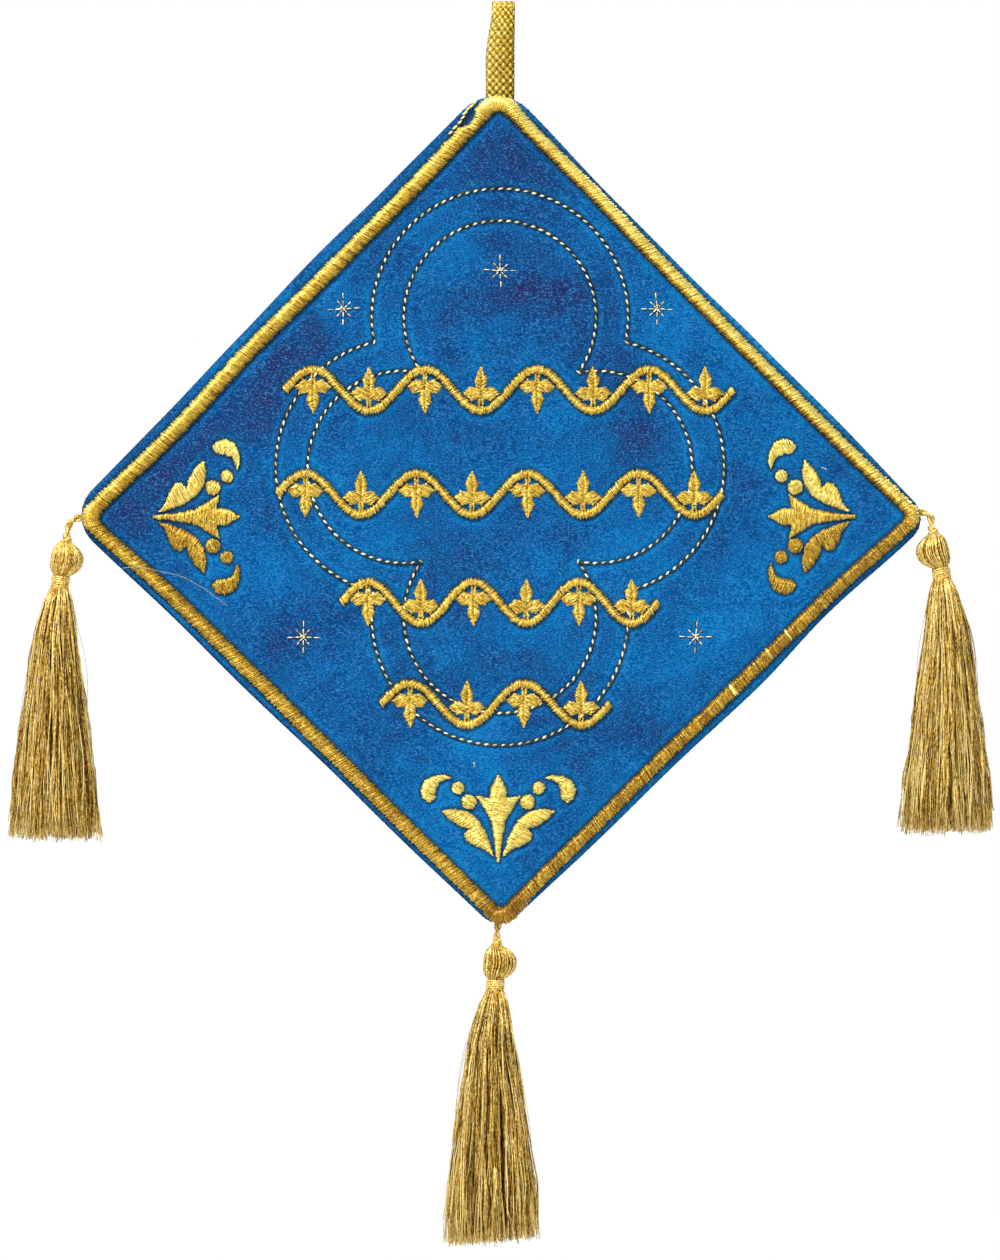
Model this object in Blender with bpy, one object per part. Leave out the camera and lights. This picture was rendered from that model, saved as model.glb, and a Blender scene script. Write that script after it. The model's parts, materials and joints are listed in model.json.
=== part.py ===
"""Hanging church banner: two velvet panels in a rounded lozenge, a satin-stitch border, sprigs and vine
bands on the front, a braided tape loop at the top corner and a tassel at each of the other three.

Metres, +Z up. X runs to the right and the front faces -Y. The origin is the point inside the top of the
tape loop that rests on a hook.
"""

import math
from typing import NamedTuple

import bmesh
import bpy
import numpy as np
from mathutils import Matrix, Vector
from mathutils.bvhtree import BVHTree

MM = 0.001
BANNER = "church_banner"
CLEARANCE = 0.3 * MM  # left between pieces that touch
WELD = 0.001 * MM

# The cloth
PANEL_THICKNESS = 1.5 * MM
RIM_THICKNESS = 0.6 * MM
RIM_ROLL = 1.6 * MM  # how far in from the rim the cloth reaches its full thickness
RIM_HALF_GAP = 0.2 * MM
MIDDLE_HALF_GAP = 0.9 * MM
TUCK_ROOM = 0.48 * MM  # between a panel and what is tucked behind it
MIDDLE_REACH = 30 * MM  # how far in from the rim the two panels stop drawing apart
ARC_STEPS = 3
LINE_STEPS = 10
LINE_CROWDING = 0.09  # draws the grid's lines towards the corners

# The embroidery
BORDER_HEIGHT = 1.2 * MM
BORDER_LINE_STEPS = 11
MOTIF_HEIGHT = 0.8 * MM
MOTIF_SHOULDER = 0.45 * MM
WALL_SHARE = 0.45  # of a motif's height that rises straight, below its shoulder
STEM_WIDTH = 2.0 * MM
STEM_HEIGHT = 0.75 * MM
STEM_SWING = 5.2 * MM  # from the band's middle line to the stem's crest
STEPS_A_HALF_WAVE = 6
# Share of the stem's width, from its middle, against the share of its height, round its section.
STEM_SECTION = ((-0.5, 0), (-0.42, 0.55), (0, 1), (0.42, 0.55), (0.5, 0))
LEAF_HEIGHT = 0.6 * MM
LEAF_LIFT = 0.08 * MM  # keeps a leaf's underside off the stem's, so that the two join cleanly

# The tape loop
TAPE_THICKNESS = 1.1 * MM
TAPE_FOOT_WIDTH = 7.4 * MM
TAPE_TOP_WIDTH = 5.9 * MM
TAPE_FOOT_X = -0.85 * MM
TAPE_NARROWS_Z = -14.0 * MM
TAPE_FOOT_Z = -30.0 * MM
# Share of the tape's half width against the share of its half thickness, round its section.
TAPE_SECTION = ((-1, -0.6), (-0.88, -1), (0.88, -1), (1, -0.6), (1, 0.6), (0.88, 1), (-0.88, 1), (-1, 0.6))
LOOP_RADIUS = 3.4 * MM  # of the eye, at its top
LOOP_MOUTH_Z = -22.0 * MM  # where the two legs meet

# The tassels
LOCKS_ACROSS = 7
HEAD_RADIUS = 4.0 * MM
NECK_RADIUS = 1.6 * MM
BINDING_THICKNESS = 0.4 * MM
BINDING_HEIGHT = 3.3 * MM
BINDING_SIDES = 16
CORD_THICK = 1.7 * MM
CORD_THIN = 1.1 * MM
CORD_TUCK = 5.0 * MM  # how far a cord reaches in between the panels
CORD_STEPS = 17
CORD_SIDES = 6
CORD_TURN_PITCH = 5.0 * MM
CORD_RISE = 1.8 * MM  # the straight stretch above a tassel's crown
LOCK_SHARE = 0.84  # of its cell that a lock fills at the root
LOCK_SWAY = 0.3 * MM
LOCK_UNEVEN = 1.6 * MM


class Corner(NamedTuple):
    """A corner of the lozenge, before rounding, and the radius of the cloth and of the border's two edges."""

    x: float
    z: float
    cloth_radius: float
    border_outer_radius: float
    border_inner_radius: float


class Side(NamedTuple):
    """A side of the lozenge. The bows say how far a line stands out at each fifth of its length."""

    bows: tuple
    border_bows: tuple
    border_insets: tuple  # of the border's middle line, at the side's start and at its end
    border_width: float
    front_inset: float  # of the front panel's rim, inside the back panel's


CORNERS = (
    Corner(-1.9 * MM, -17.8 * MM, 11.6 * MM, 7.0 * MM, 1.6 * MM),
    Corner(107.1 * MM, -128.5 * MM, 6.4 * MM, 4.0 * MM, 1.0 * MM),
    Corner(-1.0 * MM, -232.0 * MM, 6.2 * MM, 4.4 * MM, 1.0 * MM),
    Corner(-109.4 * MM, -127.8 * MM, 9.0 * MM, 4.4 * MM, 2.0 * MM),
)
SIDES = (
    Side(
        (-0.6 * MM, -0.5 * MM, 0.1 * MM, 0.4 * MM), (0.2 * MM, -0.4 * MM, -0.5 * MM, -0.4 * MM),
        (3.5 * MM, 2.4 * MM), 3.3 * MM, 0.2 * MM,
    ),
    Side(
        (-0.9 * MM, 0.4 * MM, 0.0 * MM, 0.3 * MM), (-0.9 * MM, -0.7 * MM, -0.7 * MM, -0.3 * MM),
        (3.2 * MM, 2.5 * MM), 3.2 * MM, 0.6 * MM,
    ),
    Side(
        (0.2 * MM, -0.1 * MM, 0.1 * MM, -0.3 * MM), (-0.1 * MM, -0.5 * MM, -0.8 * MM, -1.0 * MM),
        (2.6 * MM, 2.9 * MM), 3.5 * MM, 0.5 * MM,
    ),
    Side(
        (0.0 * MM, 0.4 * MM, 0.8 * MM, 0.2 * MM), (-0.7 * MM, 0.1 * MM, -0.3 * MM, -0.5 * MM),
        (3.8 * MM, 4.3 * MM), 3.7 * MM, 0.2 * MM,
    ),
)


class Crease(NamedTuple):
    """A soft trough (depth above zero) or ridge (below zero) in the front, seen from the front."""

    x: float
    z: float
    length: float
    width: float
    degrees: float
    depth: float


CREASES = (
    Crease(-62 * MM, -92 * MM, 34 * MM, 11 * MM, 45, 0.55 * MM),
    Crease(-74 * MM, -106 * MM, 20 * MM, 9 * MM, 40, -0.35 * MM),
    Crease(-30 * MM, -72 * MM, 22 * MM, 11 * MM, 62, 0.4 * MM),
    Crease(6 * MM, -78 * MM, 26 * MM, 12 * MM, 10, -0.5 * MM),
    Crease(35 * MM, -108 * MM, 10 * MM, 22 * MM, 4, 0.4 * MM),
    Crease(62 * MM, -112 * MM, 24 * MM, 11 * MM, -38, -0.4 * MM),
    Crease(-34 * MM, -150 * MM, 28 * MM, 12 * MM, 24, 0.4 * MM),
    Crease(16 * MM, -160 * MM, 30 * MM, 13 * MM, -16, -0.45 * MM),
    Crease(48 * MM, -152 * MM, 20 * MM, 10 * MM, 52, 0.4 * MM),
    Crease(-8 * MM, -196 * MM, 22 * MM, 10 * MM, -8, 0.35 * MM),
)
SAG_CORNERS = ((-100 * MM, -128 * MM, 1.2 * MM), (100 * MM, -128 * MM, 0.6 * MM), (0.0, -222 * MM, -0.8 * MM))
SAG_REACH = 45 * MM


# Share of the border's width against the share of its height, round its section.
BORDER_SECTION = (
    (0, 0.15), (0.2, 0.8), (0.5, 1), (0.8, 0.8), (1, 0.15), (1, 0), (0.66, 0), (0.33, 0), (0, 0),
)


class Tassel(NamedTuple):
    """Where a tassel hangs, as seen from the front."""

    name: str
    corner: int
    exit: tuple
    bend: tuple
    head_top: tuple
    neck: tuple
    end: tuple
    bulge: float  # how far the head swells to one side of its own line


TASSELS = (
    Tassel(
        "left", 3, (-105.2 * MM, -128.0 * MM), (-108.3 * MM, -129.3 * MM), (-109.3 * MM, -133.9 * MM),
        (-110.9 * MM, -144.3 * MM), (-112.0 * MM, -208.0 * MM), 0.9 * MM,
    ),
    Tassel(
        "right", 1, (103.4 * MM, -126.6 * MM), (106.5 * MM, -127.6 * MM), (107.4 * MM, -131.7 * MM),
        (109.5 * MM, -142.2 * MM), (110.5 * MM, -206.2 * MM), -1.1 * MM,
    ),
    Tassel(
        "bottom", 2, (-1.3 * MM, -228.9 * MM), (-1.6 * MM, -231.5 * MM), (-1.7 * MM, -234.9 * MM),
        (-2.1 * MM, -245.2 * MM), (-3.0 * MM, -308.4 * MM), 1.1 * MM,
    ),
)

# Height above the binding's middle against radius, from the neck to the crown of a tassel's head.
HEAD_PROFILE = (
    (-1.75 * MM, NECK_RADIUS),
    (1.85 * MM, NECK_RADIUS),
    (2.4 * MM, 2.8 * MM),
    (3.8 * MM, 3.7 * MM),
    (5.6 * MM, HEAD_RADIUS),
    (7.3 * MM, 3.85 * MM),
    (8.9 * MM, 2.95 * MM),
    (10.3 * MM, 1.3 * MM),
)
# Share of the skirt's length against its radius there.
SKIRT_PROFILE = ((0.09, 4.4 * MM), (0.36, 7.4 * MM), (1.0, 11.9 * MM))
SKIRT_PLUMB = 0.2  # share of the skirt's length at which it hangs straight down


class Tuck(NamedTuple):
    """Something held between the panels: its two ends, and how the cloth draws apart round it."""

    outer: Vector
    inner: Vector
    half_gap: float
    level: float  # the distance to which the gap stays at its widest
    reach: float  # the distance at which it has closed again


class Sprig(NamedTuple):
    """Where a leaf sprig starts, and the way it grows, in degrees from +X towards +Z."""

    name: str
    x: float
    z: float
    degrees: float


SPRIGS = (
    Sprig("left", -87.5 * MM, -128.0 * MM, 0),
    Sprig("right", 87.8 * MM, -127.9 * MM, 180),
    Sprig("bottom", -1.3 * MM, -214.1 * MM, 90),
)
# Outlines on one side, in millimetres along and across from the sprig's foot. The blade's is mirrored
# into one shape, and the others are made on both sides.
SPRIG_BLADE = ((0, 0.3), (5, 0.8), (10.5, 1.8), (16.4, 5.4), (15.8, 2.0), (18.2, 2.0), (21.6, 0))
SPRIG_LEAF = (
    (1.4, 1.3), (3.0, 3.2), (3.9, 5.8), (5.4, 8.2), (7.0, 8.5), (8.3, 6.9), (8.8, 9.4),
    (10.5, 12.1), (12.6, 14.0), (13.2, 11.2), (12.5, 7.8), (10.6, 5.2), (7.6, 3.3), (3.6, 1.8),
)
SPRIG_SCROLL = (
    (14.7, 17.3), (15.8, 18.9), (18.0, 19.4), (20.2, 18.3), (21.4, 16.0), (21.6, 13.2),
    (20.9, 11.7), (20.4, 13.6), (19.6, 15.0), (18.0, 15.6), (15.7, 15.9),
)
SPRIG_BEADS = ((14.9, 7.3, 1.8), (18.4, 10.1, 1.5))
BEAD_SIDES = 8

PALMETTE_HALF = ((0, 0.5), (3.0, 0.6), (2.5, 2.4), (4.3, 4.5), (6.0, 2.9), (5.7, 1.1), (7.8, 1.6), (11.0, 0))


class Band(NamedTuple):
    """A row of undulating vine: its middle, its width and how many half waves it holds."""

    name: str
    x: float
    z: float
    width: float
    half_waves: int


BANDS = (
    Band("1", 1.4 * MM, -96.3 * MM, 112 * MM, 8),
    Band("2", -0.9 * MM, -122.3 * MM, 111 * MM, 8),
    Band("3", -0.9 * MM, -149.4 * MM, 79 * MM, 6),
    Band("4", -2.0 * MM, -174.8 * MM, 57 * MM, 4),
)

# Colour, roughness and metallic value of each finish
FINISHES = {
    "blue_velvet": ((0.011, 0.108, 0.366), 0.85, 0.0),
    "gold_satin_thread": ((0.62, 0.38, 0.07), 0.38, 0.6),
    "gold_braid": ((0.52, 0.34, 0.07), 0.42, 0.6),
    "gold_tassel_yarn": ((0.45, 0.28, 0.08), 0.5, 0.35),
}


def material_of(finish):
    """The Principled material of a finish, made once."""
    found = bpy.data.materials.get(finish)
    if found:
        return found
    colour, roughness, metallic = FINISHES[finish]
    made = bpy.data.materials.new(finish)
    made.use_nodes = True
    shader = made.node_tree.nodes["Principled BSDF"]
    shader.inputs["Base Color"].default_value = (*colour, 1)
    shader.inputs["Roughness"].default_value = roughness
    shader.inputs["Metallic"].default_value = metallic
    return made


def add_empty(name, parent, location=(0, 0, 0), tilt=0.0):
    """An empty that sub-parts hang from, turned about the banner's Y axis by the tilt."""
    made = bpy.data.objects.new(name, None)
    made.empty_display_size = 5 * MM
    made.parent = parent
    made.location = location
    made.rotation_euler.y = tilt
    bpy.data.collections[BANNER].objects.link(made)
    bpy.context.view_layer.update()
    return made


def add_object(name, bm, finish, parent, location=(0, 0, 0)):
    """Turns a bmesh into a named, smooth-shaded object under its parent, and frees the bmesh."""
    bmesh.ops.recalc_face_normals(bm, faces=bm.faces)
    mesh = bpy.data.meshes.new(name)
    bm.to_mesh(mesh)
    bm.free()
    mesh.materials.append(material_of(finish))
    mesh.shade_smooth()
    mesh.set_sharp_from_angle(angle=math.radians(40))
    made = bpy.data.objects.new(name, mesh)
    made.parent = parent
    made.location = location
    bpy.data.collections[BANNER].objects.link(made)
    return made


def smooth_step(value):
    value = min(max(value, 0.0), 1.0)
    return value * value * (3 - 2 * value)


def outward(side):
    """The unit vector that points out of the lozenge across a side."""
    start, end = CORNERS[side % 4], CORNERS[(side + 1) % 4]
    along = Vector((end.x - start.x, end.z - start.z)).normalized()
    return Vector((-along.y, along.x))


class Lozenge:
    """A closed line with four rounded corners, each side set in from the CORNERS by its own insets."""

    def __init__(self, insets, radii, bows):
        self.corners = []
        for index in range(4):
            one, two = outward(index - 1), outward(index)
            point = Vector((CORNERS[index].x, CORNERS[index].z))
            rows = Matrix(((one.x, one.y), (two.x, two.y)))
            reach = Vector((one.dot(point) - insets[index - 1][1], two.dot(point) - insets[index][0]))
            self.corners.append(rows.inverted() @ reach)
        self.radii = radii
        self.bows = bows

    def arc(self, index, share):
        """A point on a rounded corner: share 0 is where the arc begins and 1 is where it ends."""
        here, radius = self.corners[index], self.radii[index]
        back = (self.corners[index - 1] - here).normalized()
        ahead = (self.corners[(index + 1) % 4] - here).normalized()
        half = back.angle(ahead) / 2
        centre = here + (back + ahead).normalized() * (radius / math.sin(half))
        start = here + back * (radius / math.tan(half)) - centre
        end = here + ahead * (radius / math.tan(half)) - centre
        turn = math.pi - 2 * half
        first, last = math.sin((1 - share) * turn), math.sin(share * turn)
        return centre + (start * first + end * last) / math.sin(turn)

    def bow(self, side, share):
        """How far a side stands out of its straight line, at a share of its length."""
        height = 0.0
        for place, offset in enumerate(self.bows[side], start=1):
            away = abs(share * 5 - place)
            if away < 1:
                height += offset * math.cos(away * math.pi / 2) ** 2
        return height

    def side(self, side, arc_steps, line_steps, crowding=0.0):
        """Points along one side, from the middle of one rounded corner to the middle of the next."""
        after = (side + 1) % 4
        points = [self.arc(side, 0.5 + 0.5 * k / arc_steps) for k in range(arc_steps)]
        begin, end = self.arc(side, 1), self.arc(after, 0)
        for k in range(line_steps + 1):
            share = k / line_steps
            share -= crowding * math.sin(2 * math.pi * share)
            points.append(begin.lerp(end, share) + outward(side) * self.bow(side, share))
        return points + [self.arc(after, 0.5 * k / arc_steps) for k in range(1, arc_steps + 1)]

    def closed(self, arc_steps, line_steps):
        """The points once round, the last one not repeated."""
        points = []
        for side in range(4):
            points += self.side(side, arc_steps, line_steps)[:-1]
        return points


def distance_to_segment(point, start, end):
    """How far a point is from the straight line between two others."""
    along = end - start
    share = min(max((point - start).dot(along) / along.length_squared, 0), 1)
    return (point - start - along * share).length


def tucks():
    """What is held between the two panels."""
    mouth, foot = Vector((TAPE_FOOT_X, LOOP_MOUTH_Z)), Vector((TAPE_FOOT_X, TAPE_FOOT_Z))
    found = [Tuck(mouth, foot, TAPE_THICKNESS + TUCK_ROOM, 5.5 * MM, 15 * MM)]
    for tassel in TASSELS:
        place = Vector(tassel.exit)
        found.append(Tuck(place, tuck_end(tassel), CORD_THICK / 2 + TUCK_ROOM, 2.6 * MM, 11 * MM))
    return found


def tuck_end(tassel):
    """The inner end of a tassel's cord, between the panels."""
    middle = Vector((0.0, CORNERS[1].z))
    place = Vector(tassel.exit)
    return place + (middle - place).normalized() * CORD_TUCK


def half_gap(point, from_rim):
    """Half the space between the panels at a point."""
    swell = smooth_step(from_rim / MIDDLE_REACH)
    gap = RIM_HALF_GAP + (MIDDLE_HALF_GAP - RIM_HALF_GAP) * swell
    for tuck in tucks():
        away = distance_to_segment(point, tuck.outer, tuck.inner)
        share = 1 - smooth_step((away - tuck.level) / (tuck.reach - tuck.level))
        gap = max(gap, RIM_HALF_GAP + (tuck.half_gap - RIM_HALF_GAP) * share)
    return gap


def hang(point):
    """How far back the whole banner swings at a point: each corner curls a little its own way."""
    depth = 0.0
    for x, z, curl in SAG_CORNERS:
        away = (point - Vector((x, z))).length / SAG_REACH
        depth += curl * math.exp(-away * away)
    return depth


def creases(point):
    """How deep the creases press the cloth in at a point."""
    depth = 0.0
    for crease in CREASES:
        angle = math.radians(crease.degrees)
        east, north = point.x - crease.x, point.y - crease.z
        along = (east * math.cos(angle) + north * math.sin(angle)) / crease.length
        across = (north * math.cos(angle) - east * math.sin(angle)) / crease.width
        depth += crease.depth * math.exp(-2 * (along * along + across * across))
    return depth


def grid_places(lozenge):
    """The places of a panel's grid, as rows of points in the plane of the front."""
    sides = [lozenge.side(k, ARC_STEPS, LINE_STEPS, LINE_CROWDING) for k in range(4)]
    top_right, right_bottom = sides[0], sides[1]
    left_bottom, top_left = sides[2][::-1], sides[3][::-1]
    steps = [(b - a).length for a, b in zip(top_right, top_right[1:])]
    shares = np.concatenate([[0], np.cumsum(steps)]) / sum(steps)
    rows = []
    for j, v in enumerate(shares):
        row = []
        for i, u in enumerate(shares):
            across = top_left[j] * (1 - u) + right_bottom[j] * u
            down = top_right[i] * (1 - v) + left_bottom[i] * v
            flat = (top_right[0] * (1 - u) + top_right[-1] * u) * (1 - v)
            flat += (left_bottom[0] * (1 - u) + left_bottom[-1] * u) * v
            row.append(across + down - flat)
        rows.append(row)
    return rows


def panel(name, facing, insets, root):
    """One velvet panel. Facing is -1 for the front panel and 1 for the back one."""
    ends = [(inset, inset) for inset in insets]
    lozenge = Lozenge(ends, [corner.cloth_radius for corner in CORNERS], [side.bows for side in SIDES])
    rim = lozenge.closed(3 * ARC_STEPS, 2 * LINE_STEPS)
    cells = 2 * ARC_STEPS + LINE_STEPS
    places = [point for row in grid_places(lozenge) for point in row]
    bm = bmesh.new()
    bmesh.ops.create_grid(bm, x_segments=cells, y_segments=cells, size=1.0)
    inner = sorted(bm.verts, key=lambda v: (round(v.co.y, 4), round(v.co.x, 4)))
    for vert, place in zip(inner, places):
        vert.co = (place.x, 0, place.y)
    made = bmesh.ops.extrude_face_region(bm, geom=bm.faces[:])
    outer = {v for v in made["geom"] if isinstance(v, bmesh.types.BMVert)}
    for vert in bm.verts:
        place = Vector((vert.co.x, vert.co.z))
        from_rim = min(distance_to_segment(place, a, b) for a, b in zip(rim, rim[1:] + rim[:1]))
        depth = half_gap(place, from_rim)
        if vert in outer:
            depth += RIM_THICKNESS + (PANEL_THICKNESS - RIM_THICKNESS) * smooth_step(from_rim / RIM_ROLL)
        give = smooth_step(from_rim / (2 * RIM_ROLL))
        vert.co.y = facing * depth + hang(place) + creases(place) * give
    return add_object(name, bm, "blue_velvet", root)


class Front:
    """The front panel's outer face, which the embroidery lies on."""

    def __init__(self, panel_object):
        mesh = panel_object.data
        points = [v.co for v in mesh.vertices]
        self.tree = BVHTree.FromPolygons(points, [p.vertices for p in mesh.polygons])

    def depth(self, x, z):
        """The Y of the face at a point."""
        start = Vector((x, -0.1, z))
        hit = self.tree.ray_cast(start, Vector((0, 1, 0)))[0]
        return (hit or self.tree.find_nearest(start)[0]).y

    def rest(self, x, z):
        """The Y at which a piece clears the face round a point, facets and all."""
        reach = 0.6 * MM
        around = ((0, 0), (reach, 0), (-reach, 0), (0, reach), (0, -reach))
        return min(self.depth(x + right, z + up) for right, up in around) - CLEARANCE

    def lay(self, bm, place):
        """Bends a flat piece, built on its own plane Y = 0, so that it lies on the face at its place."""
        for vert in bm.verts:
            spot = place @ vert.co
            vert.co.y += self.rest(spot.x, spot.z)


def outline_face(bm, points):
    """One flat face through points, in a bmesh that holds no other."""
    bmesh.ops.create_circle(bm, cap_ends=True, radius=1, segments=len(points))
    (face,) = bm.faces
    for vert, place in zip(face.verts, points):
        vert.co = place
    return face


def sweep(rings, closed=False):
    """A solid through rings of points, capped at its ends, or joined to itself if closed."""
    bm = bmesh.new()
    face = outline_face(bm, rings[0])
    for ring in rings[1:] + rings[:1] * closed:
        face = bmesh.ops.extrude_discrete_faces(bm, faces=[face])["faces"][0]
        for vert, place in zip(face.verts, ring):
            vert.co = place
    if closed:
        bmesh.ops.delete(bm, geom=[face], context="FACES_ONLY")
        bmesh.ops.remove_doubles(bm, verts=bm.verts, dist=WELD)
    else:
        bmesh.ops.edgeloop_fill(bm, edges=[edge for edge in bm.edges if edge.is_boundary])
    return bm


def border(front, root):
    """The satin-stitch ridge that runs round the front panel, a little in from its rim."""
    edges = []
    for away, radii in (
        (-0.5, [corner.border_outer_radius for corner in CORNERS]),
        (0.5, [corner.border_inner_radius for corner in CORNERS]),
    ):
        insets = [[inset + away * side.border_width for inset in side.border_insets] for side in SIDES]
        edge = Lozenge(insets, radii, [side.border_bows for side in SIDES])
        edges.append(edge.closed(ARC_STEPS, BORDER_LINE_STEPS))
    outer, inner = edges
    rings = []
    for out, within in zip(outer, inner):
        ring = []
        for share, rise in BORDER_SECTION:
            place = out.lerp(within, share)
            level = front.rest(place.x, place.y)
            ring.append(Vector((place.x, level - rise * BORDER_HEIGHT, place.y)))
        rings.append(ring)
    return add_object("satin_border", sweep(rings, closed=True), "gold_satin_thread", root)


def patch(outline, height, shoulder=0.0, lift=0.0):
    """A flat raised shape on the plane Y = 0, its top drawn in by the shoulder. The outline is in (x, z)."""
    bm = bmesh.new()
    base = outline_face(bm, [(x, -lift, z) for x, z in outline])
    grown = bmesh.ops.extrude_face_region(bm, geom=[base])["geom"]
    top = next(part for part in grown if isinstance(part, bmesh.types.BMFace))
    wall = height * (WALL_SHARE if shoulder else 1)
    bmesh.ops.translate(bm, verts=top.verts[:], vec=(0, -wall, 0))
    bmesh.ops.recalc_face_normals(bm, faces=bm.faces)
    if shoulder:
        bmesh.ops.inset_region(bm, faces=[top], thickness=shoulder, use_even_offset=False)
        bmesh.ops.translate(bm, verts=top.verts[:], vec=(0, wall - height, 0))
    return bm


def mirrored_outline(half):
    """A whole outline from one that starts and ends near its own middle line."""
    other = [(along, -across) for along, across in reversed(half) if across]
    return list(half) + other


def sprig(spot, front, root):
    """One leaf sprig: a three-pointed blade, and on each side a leaf, two beads and a scroll."""
    foot = add_empty(f"sprig_{spot.name}", root, (spot.x, 0, spot.z), -math.radians(spot.degrees))
    pieces = [("blade", mirrored_outline(SPRIG_BLADE))]
    for side, flip in (("a", 1), ("b", -1)):
        pieces.append((f"leaf_{side}", [(along, flip * across) for along, across in SPRIG_LEAF]))
        pieces.append((f"scroll_{side}", [(along, flip * across) for along, across in SPRIG_SCROLL]))
        for number, (along, across, radius) in enumerate(SPRIG_BEADS, start=1):
            turns = [2 * math.pi * k / BEAD_SIDES for k in range(BEAD_SIDES)]
            ring = [(along + radius * math.cos(t), flip * across + radius * math.sin(t)) for t in turns]
            pieces.append((f"bead_{side}{number}", ring))
    for name, outline in pieces:
        bm = patch([(along * MM, across * MM) for along, across in outline], MOTIF_HEIGHT, MOTIF_SHOULDER)
        front.lay(bm, foot.matrix_world)
        add_object(f"{foot.name}_{name}", bm, "gold_satin_thread", foot)


def vine_point(band, wave):
    """The stem's middle line at a number of half waves along a band, and the way across it."""
    pitch = band.width / band.half_waves
    place = Vector((wave * pitch - band.width / 2, STEM_SWING * math.sin(math.pi * wave)))
    slope = STEM_SWING * math.pi / pitch * math.cos(math.pi * wave)
    return place, Vector((-slope, 1)).normalized()


def vine_stem(band):
    """The undulating stem of a band, flat below and ridged above."""
    rings = []
    for k in range(band.half_waves * STEPS_A_HALF_WAVE + 1):
        place, across = vine_point(band, k / STEPS_A_HALF_WAVE)
        ring = []
        for share, rise in STEM_SECTION:
            spot = place + across * (share * STEM_WIDTH)
            ring.append(Vector((spot.x, -rise * STEM_HEIGHT, spot.y)))
        rings.append(ring)
    return sweep(rings)


def vine_leaves(band):
    """The palmettes that hang in the hollows of a band's stem, as one mesh of separate bodies."""
    bm = bmesh.new()
    for wave in range(band.half_waves):
        crest, _ = vine_point(band, wave + 0.5)
        growing = -1 if wave % 2 == 0 else 1
        outline = []
        for along, across in mirrored_outline(PALMETTE_HALF):
            outline.append((crest.x + across * MM, crest.y + growing * along * MM))
        leaf = patch(outline, LEAF_HEIGHT, lift=LEAF_LIFT)
        scratch = bpy.data.meshes.new("leaf")
        leaf.to_mesh(scratch)
        leaf.free()
        bm.from_mesh(scratch)
        bpy.data.meshes.remove(scratch)
    return bm


def joined_mesh(first, second):
    """The union of two objects as a bmesh. Both objects are removed."""
    join = first.modifiers.new("join", "BOOLEAN")
    join.operation = "UNION"
    join.object = second
    bpy.context.view_layer.update()
    graph = bpy.context.evaluated_depsgraph_get()
    mesh = bpy.data.meshes.new_from_object(first.evaluated_get(graph))
    for used in (first, second):
        bpy.data.objects.remove(used)
    bm = bmesh.new()
    bm.from_mesh(mesh)
    bpy.data.meshes.remove(mesh)
    return bm


def vine_band(band, front, root):
    """A band of vine, its stem and palmettes joined into one piece and laid on the front."""
    stem = add_object("vine_stem", vine_stem(band), "gold_satin_thread", root)
    leaves = add_object("vine_leaves", vine_leaves(band), "gold_satin_thread", root)
    bm = joined_mesh(stem, leaves)
    middle = (band.x, 0, band.z)
    front.lay(bm, Matrix.Translation(middle))
    add_object(f"vine_band_{band.name}", bm, "gold_satin_thread", root, middle)


def tape_line():
    """The middle line of the tape loop, seen from the side, as (y, z), from foot to foot."""
    reach = LOOP_RADIUS + TAPE_THICKNESS / 2
    centre = -LOOP_RADIUS
    foot = TAPE_THICKNESS / 2 + CLEARANCE / 2
    front_leg = [
        (-foot, TAPE_FOOT_Z),
        (-foot, LOOP_MOUTH_Z - 1.5 * MM),
        (-foot - 0.15 * MM, LOOP_MOUTH_Z),
        (-foot - 0.9 * MM, LOOP_MOUTH_Z + 4 * MM),
        (-foot - 2.1 * MM, LOOP_MOUTH_Z + 9 * MM),
        (-foot - 2.95 * MM, LOOP_MOUTH_Z + 14 * MM),
    ]
    arc = []
    for k in range(9):
        turn = math.pi * k / 8
        arc.append((-reach * math.cos(turn), centre + reach * math.sin(turn)))
    return front_leg + arc + [(-y, z) for y, z in reversed(front_leg)]


def tape_loop(root):
    """The braided tape: down between the panels at both ends and over the hook at the top."""
    line = [Vector(point) for point in tape_line()]
    rings = []
    for k, (y, z) in enumerate(line):
        ahead = line[min(k + 1, len(line) - 1)] - line[max(k - 1, 0)]
        across = Vector((-ahead.y, ahead.x)).normalized() * (TAPE_THICKNESS / 2)
        up = 1 - z / TAPE_NARROWS_Z
        width = TAPE_FOOT_WIDTH + (TAPE_TOP_WIDTH - TAPE_FOOT_WIDTH) * smooth_step(up)
        x = TAPE_FOOT_X * (1 - smooth_step(up))
        ring = []
        for edge, face in TAPE_SECTION:
            ring.append(Vector((x + edge * width / 2, y + face * across.x, z + face * across.y)))
        rings.append(ring)
    return add_object("hanging_tape", sweep(rings), "gold_braid", root)


class Knot:
    """A tassel's own frame: an empty at the middle of its neck, tilted so that +Z runs up to the crown."""

    def __init__(self, tassel, root):
        self.depth = hang(Vector(tassel.exit))
        neck, top = Vector(tassel.neck), Vector(tassel.head_top)
        self.tilt = math.atan2(top.x - neck.x, top.y - neck.y)
        self.bulge = tassel.bulge
        self.empty = add_empty(f"knot_{tassel.name}", root, (neck.x, self.depth, neck.y), self.tilt)

    def place(self, height, radius, turn):
        """A point at a height, a radius and an angle round the frame's axis, with the head's bulge."""
        low, top = HEAD_PROFILE[1][0], HEAD_PROFILE[-1][0]
        share = min(max((height - low) / (top - low), 0), 1)
        shift = self.bulge * math.sin(math.pi * share)
        return Vector((radius * math.cos(turn) + shift, radius * math.sin(turn), height))


def disc_point(u, v):
    """Where a point of the square from -1 to 1 falls on the unit disc."""
    return Vector((u * math.sqrt(1 - v * v / 2), v * math.sqrt(1 - u * u / 2)))


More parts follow.
